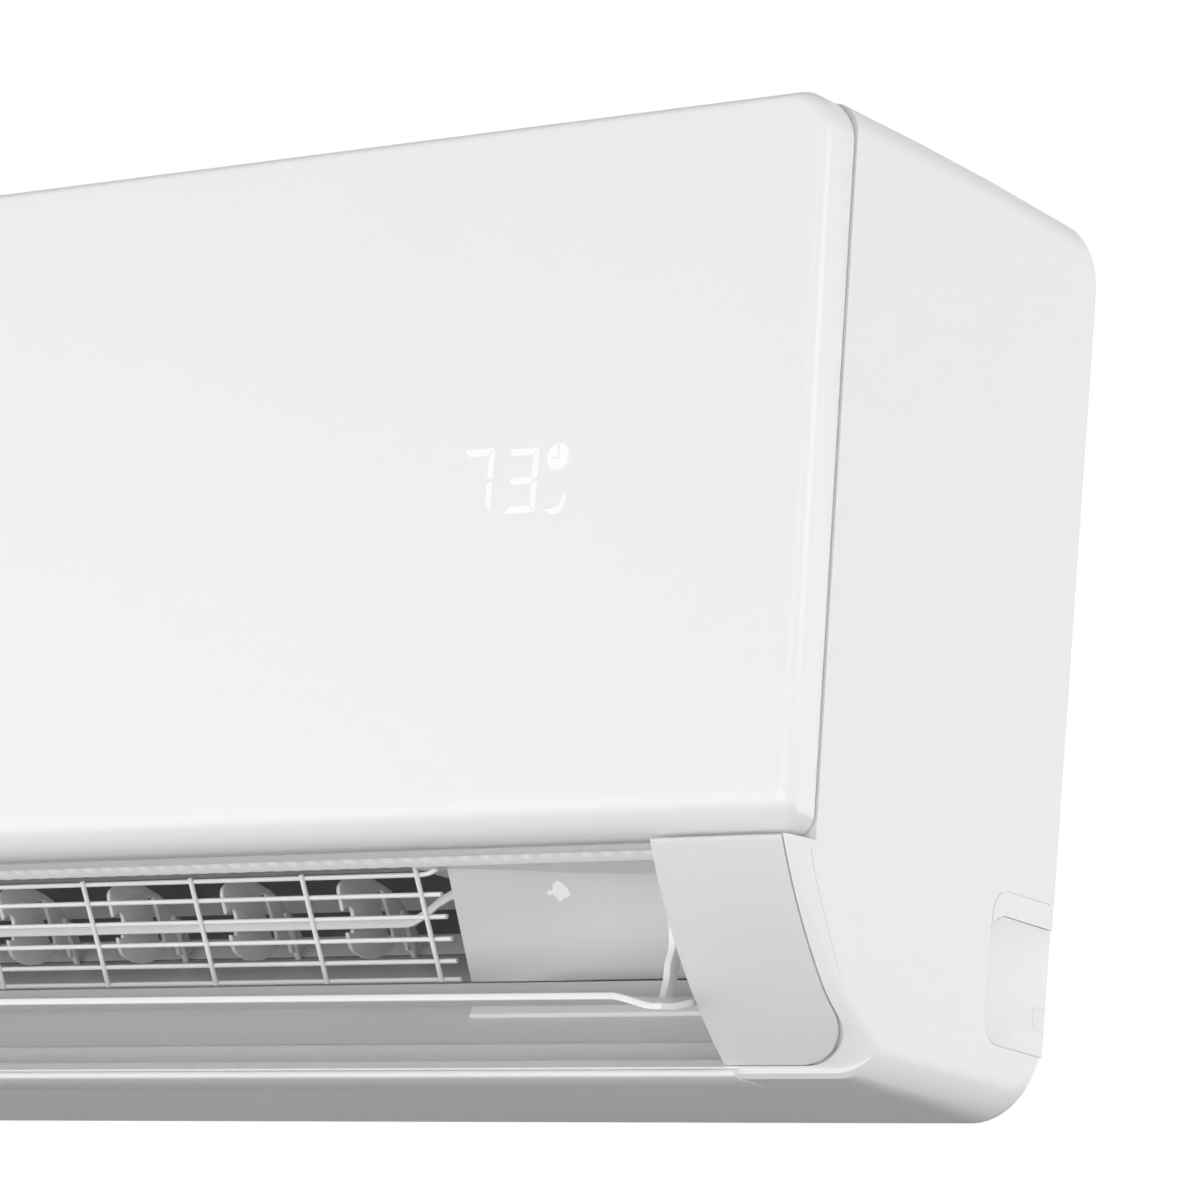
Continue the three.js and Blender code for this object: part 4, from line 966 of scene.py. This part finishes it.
hinge_pads = []
for sign in (1, -1):
    x = sorted((sign * 392.6, sign * 395.0))
    hinge_pads.append(block("pad", *x, -152, -146, 140, 145.6))
pads = rounded(merge("panel_hinge_pads", hinge_pads), 0.6)
dress(pads, panel_white, "panel")
print("panel faces", len(panel.data.polygons), "and pad faces", len(pads.data.polygons))

# %% [markdown]
# The display glows faintly through the panel: two seven-segment digits, a clock disc and a
# crescent. Each is a very thin raised shape just in front of the face, so it moves with it.

# %% Display symbols


def on_face(outline, lift=0.05):
    """Flat (X, Z) points placed on the leaning face as a sheet `lift` in front of it."""
    o = np.asarray(outline, float)
    return np.column_stack([o[:, 0], seam(o[:, 1]) - THICK - lift, o[:, 1]])


def sheet(outline):
    """One flat symbol: a single face round the outline."""
    return mesh_object("symbol", on_face(outline), [list(range(len(outline)))])


def digit(x, z, lit, width=12.3, height=20.4, bar=2.25):
    """Segments a, b, c, d and g of a seven-segment digit; each is a bar inside the width by height box."""
    w, h, b, g = width, height, bar, 0.25
    m = h / 2
    shapes = {
        "a": [(g, h), (w - g, h), (w - b - g, h - b), (b + g, h - b)],
        "b": [(w, h - g), (w, m + g + 0.4), (w - b / 2, m + g), (w - b, m + b / 2), (w - b, h - b - g)],
        "c": [(w, g), (w, m - g - 0.4), (w - b / 2, m - g), (w - b, m - b / 2), (w - b, b + g)],
        "d": [(g, 0), (w - g, 0), (w - b - g, b), (b + g, b)],
        "g": [
            (b * 0.6, m),
            (b + g, m + b / 2),
            (w - b - g, m + b / 2),
            (w - b * 0.6, m),
            (w - b - g, m - b / 2),
            (b + g, m - b / 2),
        ],
    }
    slant = 0.02
    return [sheet([(x + px + slant * pz, z + pz) for px, pz in shapes[k]]) for k in lit]


symbols = digit(269.2, 25.0, "abc") + digit(286.6, 24.1, "abgcd")
dial = arc((306.6, 41.0), 4.25, 100, 440, 40)
hands = [(307.0, 43.6), (307.0, 40.4), (304.2, 40.4), (304.2, 40.9), (306.5, 40.9), (306.5, 43.6)]
around = np.vstack([dial, [(306.62, 45.24)], hands])
symbols.append(sheet(around))
outer = smooth_line([(309.8, 30.0), (310.8, 27.7), (309.2, 23.9), (306.0, 22.9), (302.4, 24.6)], 5)
inner = smooth_line([(302.4, 24.6), (306.6, 25.0), (308.8, 26.9), (309.8, 30.0)], 5)
symbols.append(sheet(np.vstack([outer[:-1], inner[:-1]])))
display = merge("display_symbols", symbols)
dress(display, symbol_white, "panel")
print("symbol faces", len(display.data.polygons))

# %% [markdown]
# ## End covers and pipe covers
# A silver-grey cap closes each side of the outlet. It lies on the front's arc, flush in its
# pocket. Its lower outer corner sweeps round, which the grid follows by shortening each row.

# %% End covers and pipe covers
COVER_INNER, COVER_OUTER = 348.4, 396.5
for sign, name in ((1, "right"), (-1, "left")):
    t = np.linspace(0.006, 0.982, 46)
    line = front(t)
    drop = np.clip((-126.6 - line[:, 1]) / SWEEP_HIGH, 0, 1)
    end = COVER_OUTER - SWEEP_WIDE * (1 - np.sqrt(np.clip(1 - drop**2, 0.0, 1)))
    u = np.linspace(0, 1, 12)[:, None]
    x = COVER_INNER + u * (end[None, :] - COVER_INNER)
    grid = np.stack([x, np.broadcast_to(line[:, 0], x.shape), np.broadcast_to(line[:, 1], x.shape)], -1)
    grid[..., 0] *= sign
    cap = outward(skin("end_cap_" + name, grid))
    middle = cap.data.polygons[len(cap.data.polygons) // 2]
    if middle.normal.y > 0:
        cap.data.flip_normals()
    wall = cap.modifiers.new("wall", "SOLIDIFY")
    wall.thickness = 1.9 * MM
    wall.offset = -1
    rounded(cap, 0.35, 3)
    dress(cap, cover_silver, "housing")
    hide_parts("end_cover_" + name)

    plate = prism("plate", knockout(0, -2.4), 399.2, 399.72)
    flange = prism("flange", knockout(0.38, -2.4), 397.6, 399.3)
    tab_line = block("tab_line", 399.5, 402, -9.6, 3, -115.2, -107.9)
    carve(tab_line, block("tab", 399.0, 403, -9.2, 4, -114.8, -108.3))
    carve(plate, tab_line)
    if sign < 0:
        for thing in (plate, flange):
            thing.data.transform(Matrix.Scale(-1, 4, (1, 0, 0)))
            outward(thing)
    plate = rounded(merge("pipe_cap_" + name, [plate, flange]), 0.15)
    dress(plate, casing_white, "housing")
    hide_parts("pipe_cover_" + name)
    print(name, "cover faces", len(cap.data.polygons), "pipe cover faces", len(plate.data.polygons))

# %% [markdown]
# ## The louver
# A long blade, part of the same arc as the caps, turned open about its pivot. Its front corners
# dip towards the outside before the end, and a curved arm at each side reaches up to the pivot.

# %% Louver
OPEN = math.radians(64.3)


def opened(points):
    """Turns (Y, Z) points by the opening angle about the pivot."""
    p = np.asarray(points, float) - PIVOT
    c, s = math.cos(OPEN), math.sin(OPEN)
    return PIVOT + np.stack([p[..., 0] * c - p[..., 1] * s, p[..., 0] * s + p[..., 1] * c], -1)


t = np.linspace(0.012, 0.955, 40)
weight = np.concatenate([t, t[::-1]])
depth = np.concatenate([np.zeros(40), np.full(40, 2.2)])
x = np.concatenate([
    [-347.5],
    np.linspace(-346.5, -332, 16),
    np.linspace(-320, 320, 17),
    np.linspace(332, 346.5, 16),
    [347.5],
])
near = np.clip((np.abs(x) - 333.0) / 12.0, 0, 1)[:, None]
near = near * near * (3 - 2 * near)
fade = np.clip(1 - weight / 0.42, 0, 1)[None]
fade = fade * fade * (3 - 2 * fade)
section = opened(front(weight[None] + 0.075 * near * fade, np.broadcast_to(depth, (len(x), 80))))
sag = (2.4 * near + 0.8 * (x[:, None] / 347) ** 2) * fade
shifted = section + sag[..., None] * np.array([0.05, -1.0])
grid = np.concatenate([np.broadcast_to(x[:, None, None], shifted.shape[:2] + (1,)), shifted], -1)
blade = rounded(outward(skin("louver_blade", grid, close_v=True, caps=True)), 0.45, 3, 40)

arms = []
for sign in (1, -1):
    stem = [(-114.0, -121.5), (-112.9, -115), (-112.8, -110), (-111.4, -105)]
    stem += [(-112.0, -98.5), (-110.6, -93.6), (-106.8, -93.2), (-104.6, -96.5)]
    stem += [(-106.4, -104), (-107.6, -110), (-108.6, -115), (-108.6, -121.0)]
    stem = smooth_line(np.array(stem), 5, closed=True)
    xs = sorted((sign * 331.2, sign * 333.8))
    arms.append(prism("arm", stem, *xs))
    for reach, radius in (((331, 341), 4.3), ((340, 362), 2.2)):
        arms.append(tube([(sign * reach[0], *PIVOT), (sign * reach[1], *PIVOT)], radius, 24))
stems = rounded(merge("louver_arms", arms), 0.4, 2)
dress(stems, panel_white, "louver_blade")
dress(blade, panel_white, "louver_blade")
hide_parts("louver")
print("blade faces", len(blade.data.polygons), "and arm faces", len(stems.data.polygons))

# %% [markdown]
# ## The guard's wires
# Six long wires and thirteen uprights, welded where they cross. Each is a real round wire. The
# top wire's end is bent up into the casing, which shows at the right of the picture.

# %% Wire guard
GUARD_TOP, GUARD_FOOT = np.array([-122.0, -80.9]), np.array([-103.6, -113.2])
UPRIGHTS = 13
FIRST_UPRIGHT, UPRIGHT_PITCH = 239.2, 46.7
LONG_WIRE, UPRIGHT_WIRE = 0.82, 0.85
wires = []
left_end = FIRST_UPRIGHT - (UPRIGHTS - 1) * UPRIGHT_PITCH - 4
for level in (0.03, 0.21, 0.41, 0.61, 0.81, 0.975):
    y, z = GUARD_TOP + (GUARD_FOOT - GUARD_TOP) * level
    if level < 0.1:
        bend = [(237, y, z), (240, y, z), (243, y, z + 0.3), (245.5, y, z + 1.2), (247.2, y + 0.4, z + 2.6)]
        top_wire = np.vstack([[(left_end, y, z)], smooth_line(np.array(bend, float), 6)])
        wires.append(tube(top_wire, LONG_WIRE))
    else:
        wires.append(tube([(left_end, y, z), (246.6, y, z)], LONG_WIRE))
for k in range(UPRIGHTS):
    x = FIRST_UPRIGHT - UPRIGHT_PITCH * k
    a = GUARD_TOP + (GUARD_FOOT - GUARD_TOP) * (-0.1 if k % 6 == 0 else 0.0)
    wires.append(tube([(x, a[0] - 1.1, a[1]), (x, GUARD_FOOT[0] - 1.1, GUARD_FOOT[1])], UPRIGHT_WIRE))
guard = shade(merge("guard_wires", wires))
dress(guard, guard_coating, "housing")
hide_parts("wire_guard")
print("guard faces", len(guard.data.polygons))

# %% [markdown]
# ## Swing vanes and their link bar
# Each vane is a flat moulded plate with a beak, a forked edge and a slot, turning on its rear
# rib. The plate is a flat curve with the slot as a hole, thickened and bevelled by the curve
# itself, which keeps its edges evenly rounded.

# %% Vanes
VANE = [
    (-71.3, -72.0, 0), (-77.5, -73.0, 0), (-81.2, -75.3, 0), (-82.8, -78.4, 0),
    (-79.6, -85.0, 1), (-76.4, -83.0, 0), (-74.2, -85.6, 0), (-73.6, -91.2, 1),
    (-76.2, -91.6, 1), (-73.4, -96.4, 0), (-68.4, -98.1, 0), (-63.3, -98.1, 0),
    (-56.8, -96.0, 0), (-50.1, -90.6, 0), (-45.6, -89.2, 1), (-44.0, -92.2, 1),
    (-39.4, -91.2, 0), (-37.6, -88.6, 0), (-39.4, -86.0, 0), (-45.3, -80.2, 0),
    (-54.9, -74.6, 0), (-64.4, -72.2, 0),
]
FOOT, AXIS = np.array([-41.0, -91.4]), np.array([-0.577, 0.817])


def corner_line(points, steps):
    """A closed smooth line that keeps the points marked 1 as true corners."""
    p = np.array([q[:2] for q in points])
    marks = [i for i, q in enumerate(points) if q[2]]
    runs = []
    for a, b in zip(marks, marks[1:] + [marks[0] + len(p)]):
        runs.append(smooth_line(p[np.arange(a, b + 1) % len(p)], steps)[:-1])
    return np.vstack(runs)


def plate_mesh(name, loops, thickness, bevel):
    """A flat 2D curve made of the loops, filled, thickened to `thickness` with rounded edges."""
    data = bpy.data.curves.new(name, "CURVE")
    data.dimensions = "2D"
    data.fill_mode = "BOTH"
    data.extrude = (thickness / 2 - bevel) * MM
    data.bevel_depth = bevel * MM
    data.bevel_resolution = 2
    data.offset = -bevel * MM
    for loop in loops:
        spline = data.splines.new("POLY")
        spline.points.add(len(loop) - 1)
        flat = np.column_stack([np.asarray(loop) * MM, np.zeros(len(loop)), np.ones(len(loop))])
        spline.points.foreach_set("co", flat.ravel())
        spline.use_cyclic_u = True
    carrier = bpy.data.objects.new(name, data)
    bpy.context.scene.collection.objects.link(carrier)
    graph = bpy.context.evaluated_depsgraph_get()
    mesh = bpy.data.meshes.new_from_object(carrier.evaluated_get(graph))
    bpy.data.objects.remove(carrier)
    mesh.transform(Matrix(((0, 0, 1, 0), (1, 0, 0, 0), (0, 1, 0, 0), (0, 0, 0, 1))))
    thing = bpy.data.objects.new(name, mesh)
    bpy.context.scene.collection.objects.link(thing)
    return outward(thing)


VANES = 10
FIRST_VANE, VANE_PITCH = 175.0, 50.0
VANE_THICK, VANE_EDGE = 1.6, 0.3
slot_points = [(-62.9, -76.4), (-61.4, -75.4), (-60.0, -75.8), (-52.5, -88.0), (-53.6, -89.4), (-55.2, -88.8)]
slot_loop = smooth_line(np.array(slot_points), 5, closed=True)
vane_loop = corner_line(VANE, 6)
for k in range(VANES):
    x = FIRST_VANE - VANE_PITCH * k
    plate = plate_mesh("plate", [vane_loop, slot_loop], VANE_THICK, VANE_EDGE)
    plate.data.transform(Matrix.Translation((x * MM, 0, 0)))
    stem = [(x, *(FOOT + AXIS * s)) for s in (-3.6, 0.0)]
    rib = [(x, *(FOOT + AXIS * s)) for s in (0.0, 15.0)]
    thing = merge("swing_vane_%02d" % (k + 1), [plate, tube(stem, 1.15), tube(rib, 1.65)])
    outward(thing)
    shade(thing, 35)
    # The vanes' near-white is painted light, lifted for the light they catch deep in the outlet.
    dress(thing, vane_grey, "vane_%02d" % (k + 1))
    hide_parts("vane_%02d" % (k + 1))
print("faces of the last vane", len(thing.data.polygons))

# %% [markdown]
# A thin flat bar runs through the notches in the vanes' front edges, so that they turn together.
# At its right end it steps up along the vanes' axis and ends in an eye round the crank's pin. It
# is a small rectangle carried along that line, with the eye bored out of a short round.

# %% Link bar
LINK = np.array([-76.9, -89.0])
END = LINK + AXIS * 10
u = np.array([0, 0.04, 0.15, 0.35, 0.5, 0.65, 0.85, 0.96, 1.0])
xs = np.concatenate([[-280.0, -100.0, 100.0], 200 + 26 * u, [267.0]])
climb = np.concatenate([[0, 0, 0], u * u * (3 - 2 * u), [1]])
mid = LINK + climb[:, None] * (END - LINK)
corner = np.array([(-0.6, -1.6), (0.6, -1.6), (0.6, 1.6), (-0.6, 1.6)])
grid = np.concatenate([np.broadcast_to(xs[:, None, None], (len(xs), 4, 1)), mid[:, None] + corner[None]], -1)
bar = rounded(outward(skin("link_bar", grid, close_v=True, caps=True)), 0.25)
crank_eye = tube([(270, *END), (270, *(END + AXIS * 2.4))], 3.6, 28)
bore = tube([(270, *(END - AXIS * 4)), (270, *(END + AXIS * 6))], 1.8, 20)
crank_eye = rounded(carve(crank_eye, bore), 0.25)
bar = shade(merge("link_bar", [bar, crank_eye]))
dress(bar, vane_grey, "vane_bar")
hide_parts("vane_link")
print("link bar faces", len(bar.data.polygons))

# %% [markdown]
# ## Inside the outlet
# Behind the wires the air duct is one smooth moulding, with a floor that sweeps up into the fan's
# scroll. Smooth skins lie just in front of the faceted solid, so the long reflections run without
# breaks. A narrow ledge closes the gap under the guard's foot.

# %% Duct floor and ledge
OUTLET_HALF = 349.2
SCROLL = [
    (-21, 62),
    (-16, 40),
    (-15, 10),
    (-17, -20),
    (-21, -45),
    (-27, -66),
    (-33.5, -83),
    (-38.2, -93.2),
    (-46, -96),
    (-55, -101.4),
]
floor_line = np.vstack([smooth_line(np.array(SCROLL, float), 8)[:-1], trough(75, 48.6, 50.35, 16)])


def lay(name, line, x0, x1, towards, material, lift=0.15):
    """A sheet along a (Y, Z) line from x0 to x1, moved by lift to the side where `towards` lies."""
    p = np.asarray(line, float)
    way = np.gradient(p, axis=0)
    normal = np.column_stack([-way[:, 1], way[:, 0]]) / np.linalg.norm(way, axis=1)[:, None]
    if ((np.asarray(towards) - p[len(p) // 2]) @ normal[len(p) // 2]) < 0:
        normal = -normal
    p = p + normal * lift
    grid = np.stack([np.column_stack([np.full(len(p), x), p]) for x in (x0, x1)])
    thing = shade(skin(name, grid))
    face = thing.data.polygons[len(thing.data.polygons) // 2]
    want = normal[len(p) // 2]
    if face.normal.y * want[0] + face.normal.z * want[1] < 0:
        thing.data.flip_normals()
    dress(thing, material, "housing")
    return thing


ledge_outline = [(-103.2, -113.6), (-102.2, -113.6), (-101.0, -118.6), (-102.0, -118.6)]
ledge = prism("guard_ledge", ledge_outline, -OUTLET_HALF, OUTLET_HALF)
# The ledge's darker grey is painted shade under the guard's foot.
dress(rounded(ledge, 0.2), wall_grey_painted_shade, "housing")
split = len(smooth_line(np.array(SCROLL[:8], float), 8))
# The scroll skin is dark grey as painted shade for the depth of the duct.
lay("scroll_skin", floor_line[: split + 1], -330.8, 251.8, (-80, -40), scroll_grey_painted_shade)
# The floor skin's darker grey is painted shade under the louver.
lay("outlet_floor_skin", floor_line[split - 1 :], -OUTLET_HALF, OUTLET_HALF, (-90, -60), floor_gloss_painted_shade)
pad = np.vstack([trough(61.2, 69.5, 50.5, 8), trough(69.5, 61.8, 49.0, 8)])
strip = prism("floor_strip", pad, 221.5, OUTLET_HALF)
dress(rounded(strip, 0.5, 3, 40), casing_white, "housing")
print("points along the duct floor", len(floor_line))

# %% [markdown]
# The flared wall closes the outlet at the right. It leaves the guard's plane, lies back and ends in
# a cove, so it is drawn as sections that change along the unit. It stands a little in front of the
# solid, and more so at the right, where the solid's facets are coarse.

# %% Flared wall
WALL_START, WALL_RUN = 251.0, 67.0
SECTION_POINTS = 17


def flare(x):
    """The wall's section at x: it leaves the guard's plane at 251, lies back by 318 and ends in a cove."""
    s = np.clip((x - WALL_START) / WALL_RUN, 0, 1)
    s = s * s * (3 - 2 * s)
    top = np.array([-122.3 + 18.3 * s, -79.5])
    low = np.array([-107.0 + 10.0 * s, -108.5])
    middle = (top + low) / 2 + np.array([2.5 * s, 0])
    v = np.linspace(1, 0, 13)[:, None]
    face = (1 - v) ** 2 * low + 2 * v * (1 - v) * (2 * middle - (low + top) / 2) + v**2 * top
    straight = np.array([(-106.3, -109.8), (-105.6, -111.1), (-105.0, -112.3), (-104.4, -113.4)])
    cove = np.array([(-97.4, -110.0), (-98.5, -111.4), (-100.2, -112.5), (-102.2, -113.2)])
    return np.vstack([face, straight + s * (cove - straight)])


columns = np.concatenate([np.linspace(WALL_START, WALL_START + WALL_RUN, 26), [OUTLET_HALF]])
grid = np.stack([np.column_stack([np.full(SECTION_POINTS, x), flare(x)]) for x in columns])
grid[..., 1] -= 0.25 + 1.1 * np.clip((grid[..., 0] - 285) / 20, 0, 1)
wall = skin("flared_wall_skin", grid)
if wall.data.polygons[40].normal.y > 0:
    wall.data.flip_normals()
# The wall's darker grey is painted shade, for the shade that falls on it beside the end cover.
dress(shade(wall), wall_grey_painted_shade, "housing")
print("flared wall faces", len(wall.data.polygons))

# %% [markdown]
# Fine ribs run along the edge above the guard. They are a sheet whose height follows a wave along
# the unit, and the wave is cut flat at its top and bottom, as the moulded ribs are.

# %% Ribs above the guard
RIB_PITCH = 7.8
x = np.linspace(-348, 348, 2089)
ripple = np.clip(1.6 * np.sin(2 * np.pi * x / RIB_PITCH), -1, 1) * 0.5 + 0.5
rib_rows = [(-135.0, -78.85, 0.0), (-134.2, -79.05, 0.2), (-133.6, -79.35, 1.0)]
rib_rows += [(-131.4, -80.45, 1.0), (-130.2, -81.0, 0.5), (-129.4, -80.4, 0.0)]
grid = np.stack(
    [np.column_stack([x, y - 0.18 * k * ripple, z - 0.32 * k * ripple]) for y, z, k in rib_rows]
)
drip = skin("drip_ribs", grid)
if drip.data.polygons[5000].normal.z > 0:
    drip.data.flip_normals()
dress(shade(drip), casing_white, "housing")
print("rib faces", len(drip.data.polygons))

# %% [markdown]
# ## Filters
# Each filter is a plastic frame with a fine woven net. The net is a sheet that follows the
# frame's bend, and its threads are drawn by the lines group with clear gaps between them.

# %% Filter nets
for side, (x0, x1) in (("left", (-328, -50)), ("right", (-42, 236))):
    bend = np.vstack([[(-132.6, -43)], arc((-130.6, 143.5), 2.0, 180, 90, 6), [(-30, 145.5)]])
    grid = np.stack([np.column_stack([np.full(len(bend), x), bend]) for x in (x0, x1)])
    net_sheet = skin("filter_net_" + side, grid)
    dress(shade(net_sheet, 60), net_blue, "filter_" + side)
    length = np.linalg.norm(np.diff(bend, axis=0), axis=1).sum()
    print(side, "net", x1 - x0, "mm wide and", round(length, 1), "mm long")

# %% [markdown]
# ## The solids that stay
# Everything behind the front keeps its own solid, with the finish of what it is made of.

# %% Dress the remaining solids
finishes = {
    zinc_steel: [
        "mounting_plate",
        "casing_screw_left",
        "casing_screw_right",
        "fan_shaft_left",
        "fan_shaft_right",
        "pipe_clamp",
    ],
    duct_grey: ["rear_chassis", "air_outlet", "bearing_holder", "motor_cover", "emergency_button"],
    fan_black: ["crossflow_fan"],
    motor_steel: ["fan_motor"],
    box_grey: ["electric_box", "electric_box_cover"],
    rubber_black: ["fan_bearing", "terminal_block", "drain_plug"],
    hose_grey: ["drain_hose"],
    # The coil's dark fin lines are painted shade between the fins.
    fin_metal_painted_gap_shade: ["coil_front", "coil_upper", "coil_rear"],
    copper: ["coil_end_plate_left", "coil_end_plate_right", "gas_pipe", "liquid_pipe", "room_sensor"],
    brass: ["gas_flare_nut", "liquid_flare_nut"],
    board_green: ["circuit_board", "display_board"],
    filter_frame: ["air_filter_left", "air_filter_right"],
    vane_grey: ["vane_crank", "louver_bush"],
    motor_white: ["louver_motor", "vane_motor"],
}
for material, names in finishes.items():
    for name in names:
        nodes[name].data.materials.clear()
        nodes[name].data.materials.append(material)
dressed = {name for names in finishes.values() for name in names}
print("left without a finish:", [n for n in nodes if n not in dressed and not nodes[n].hide_render])
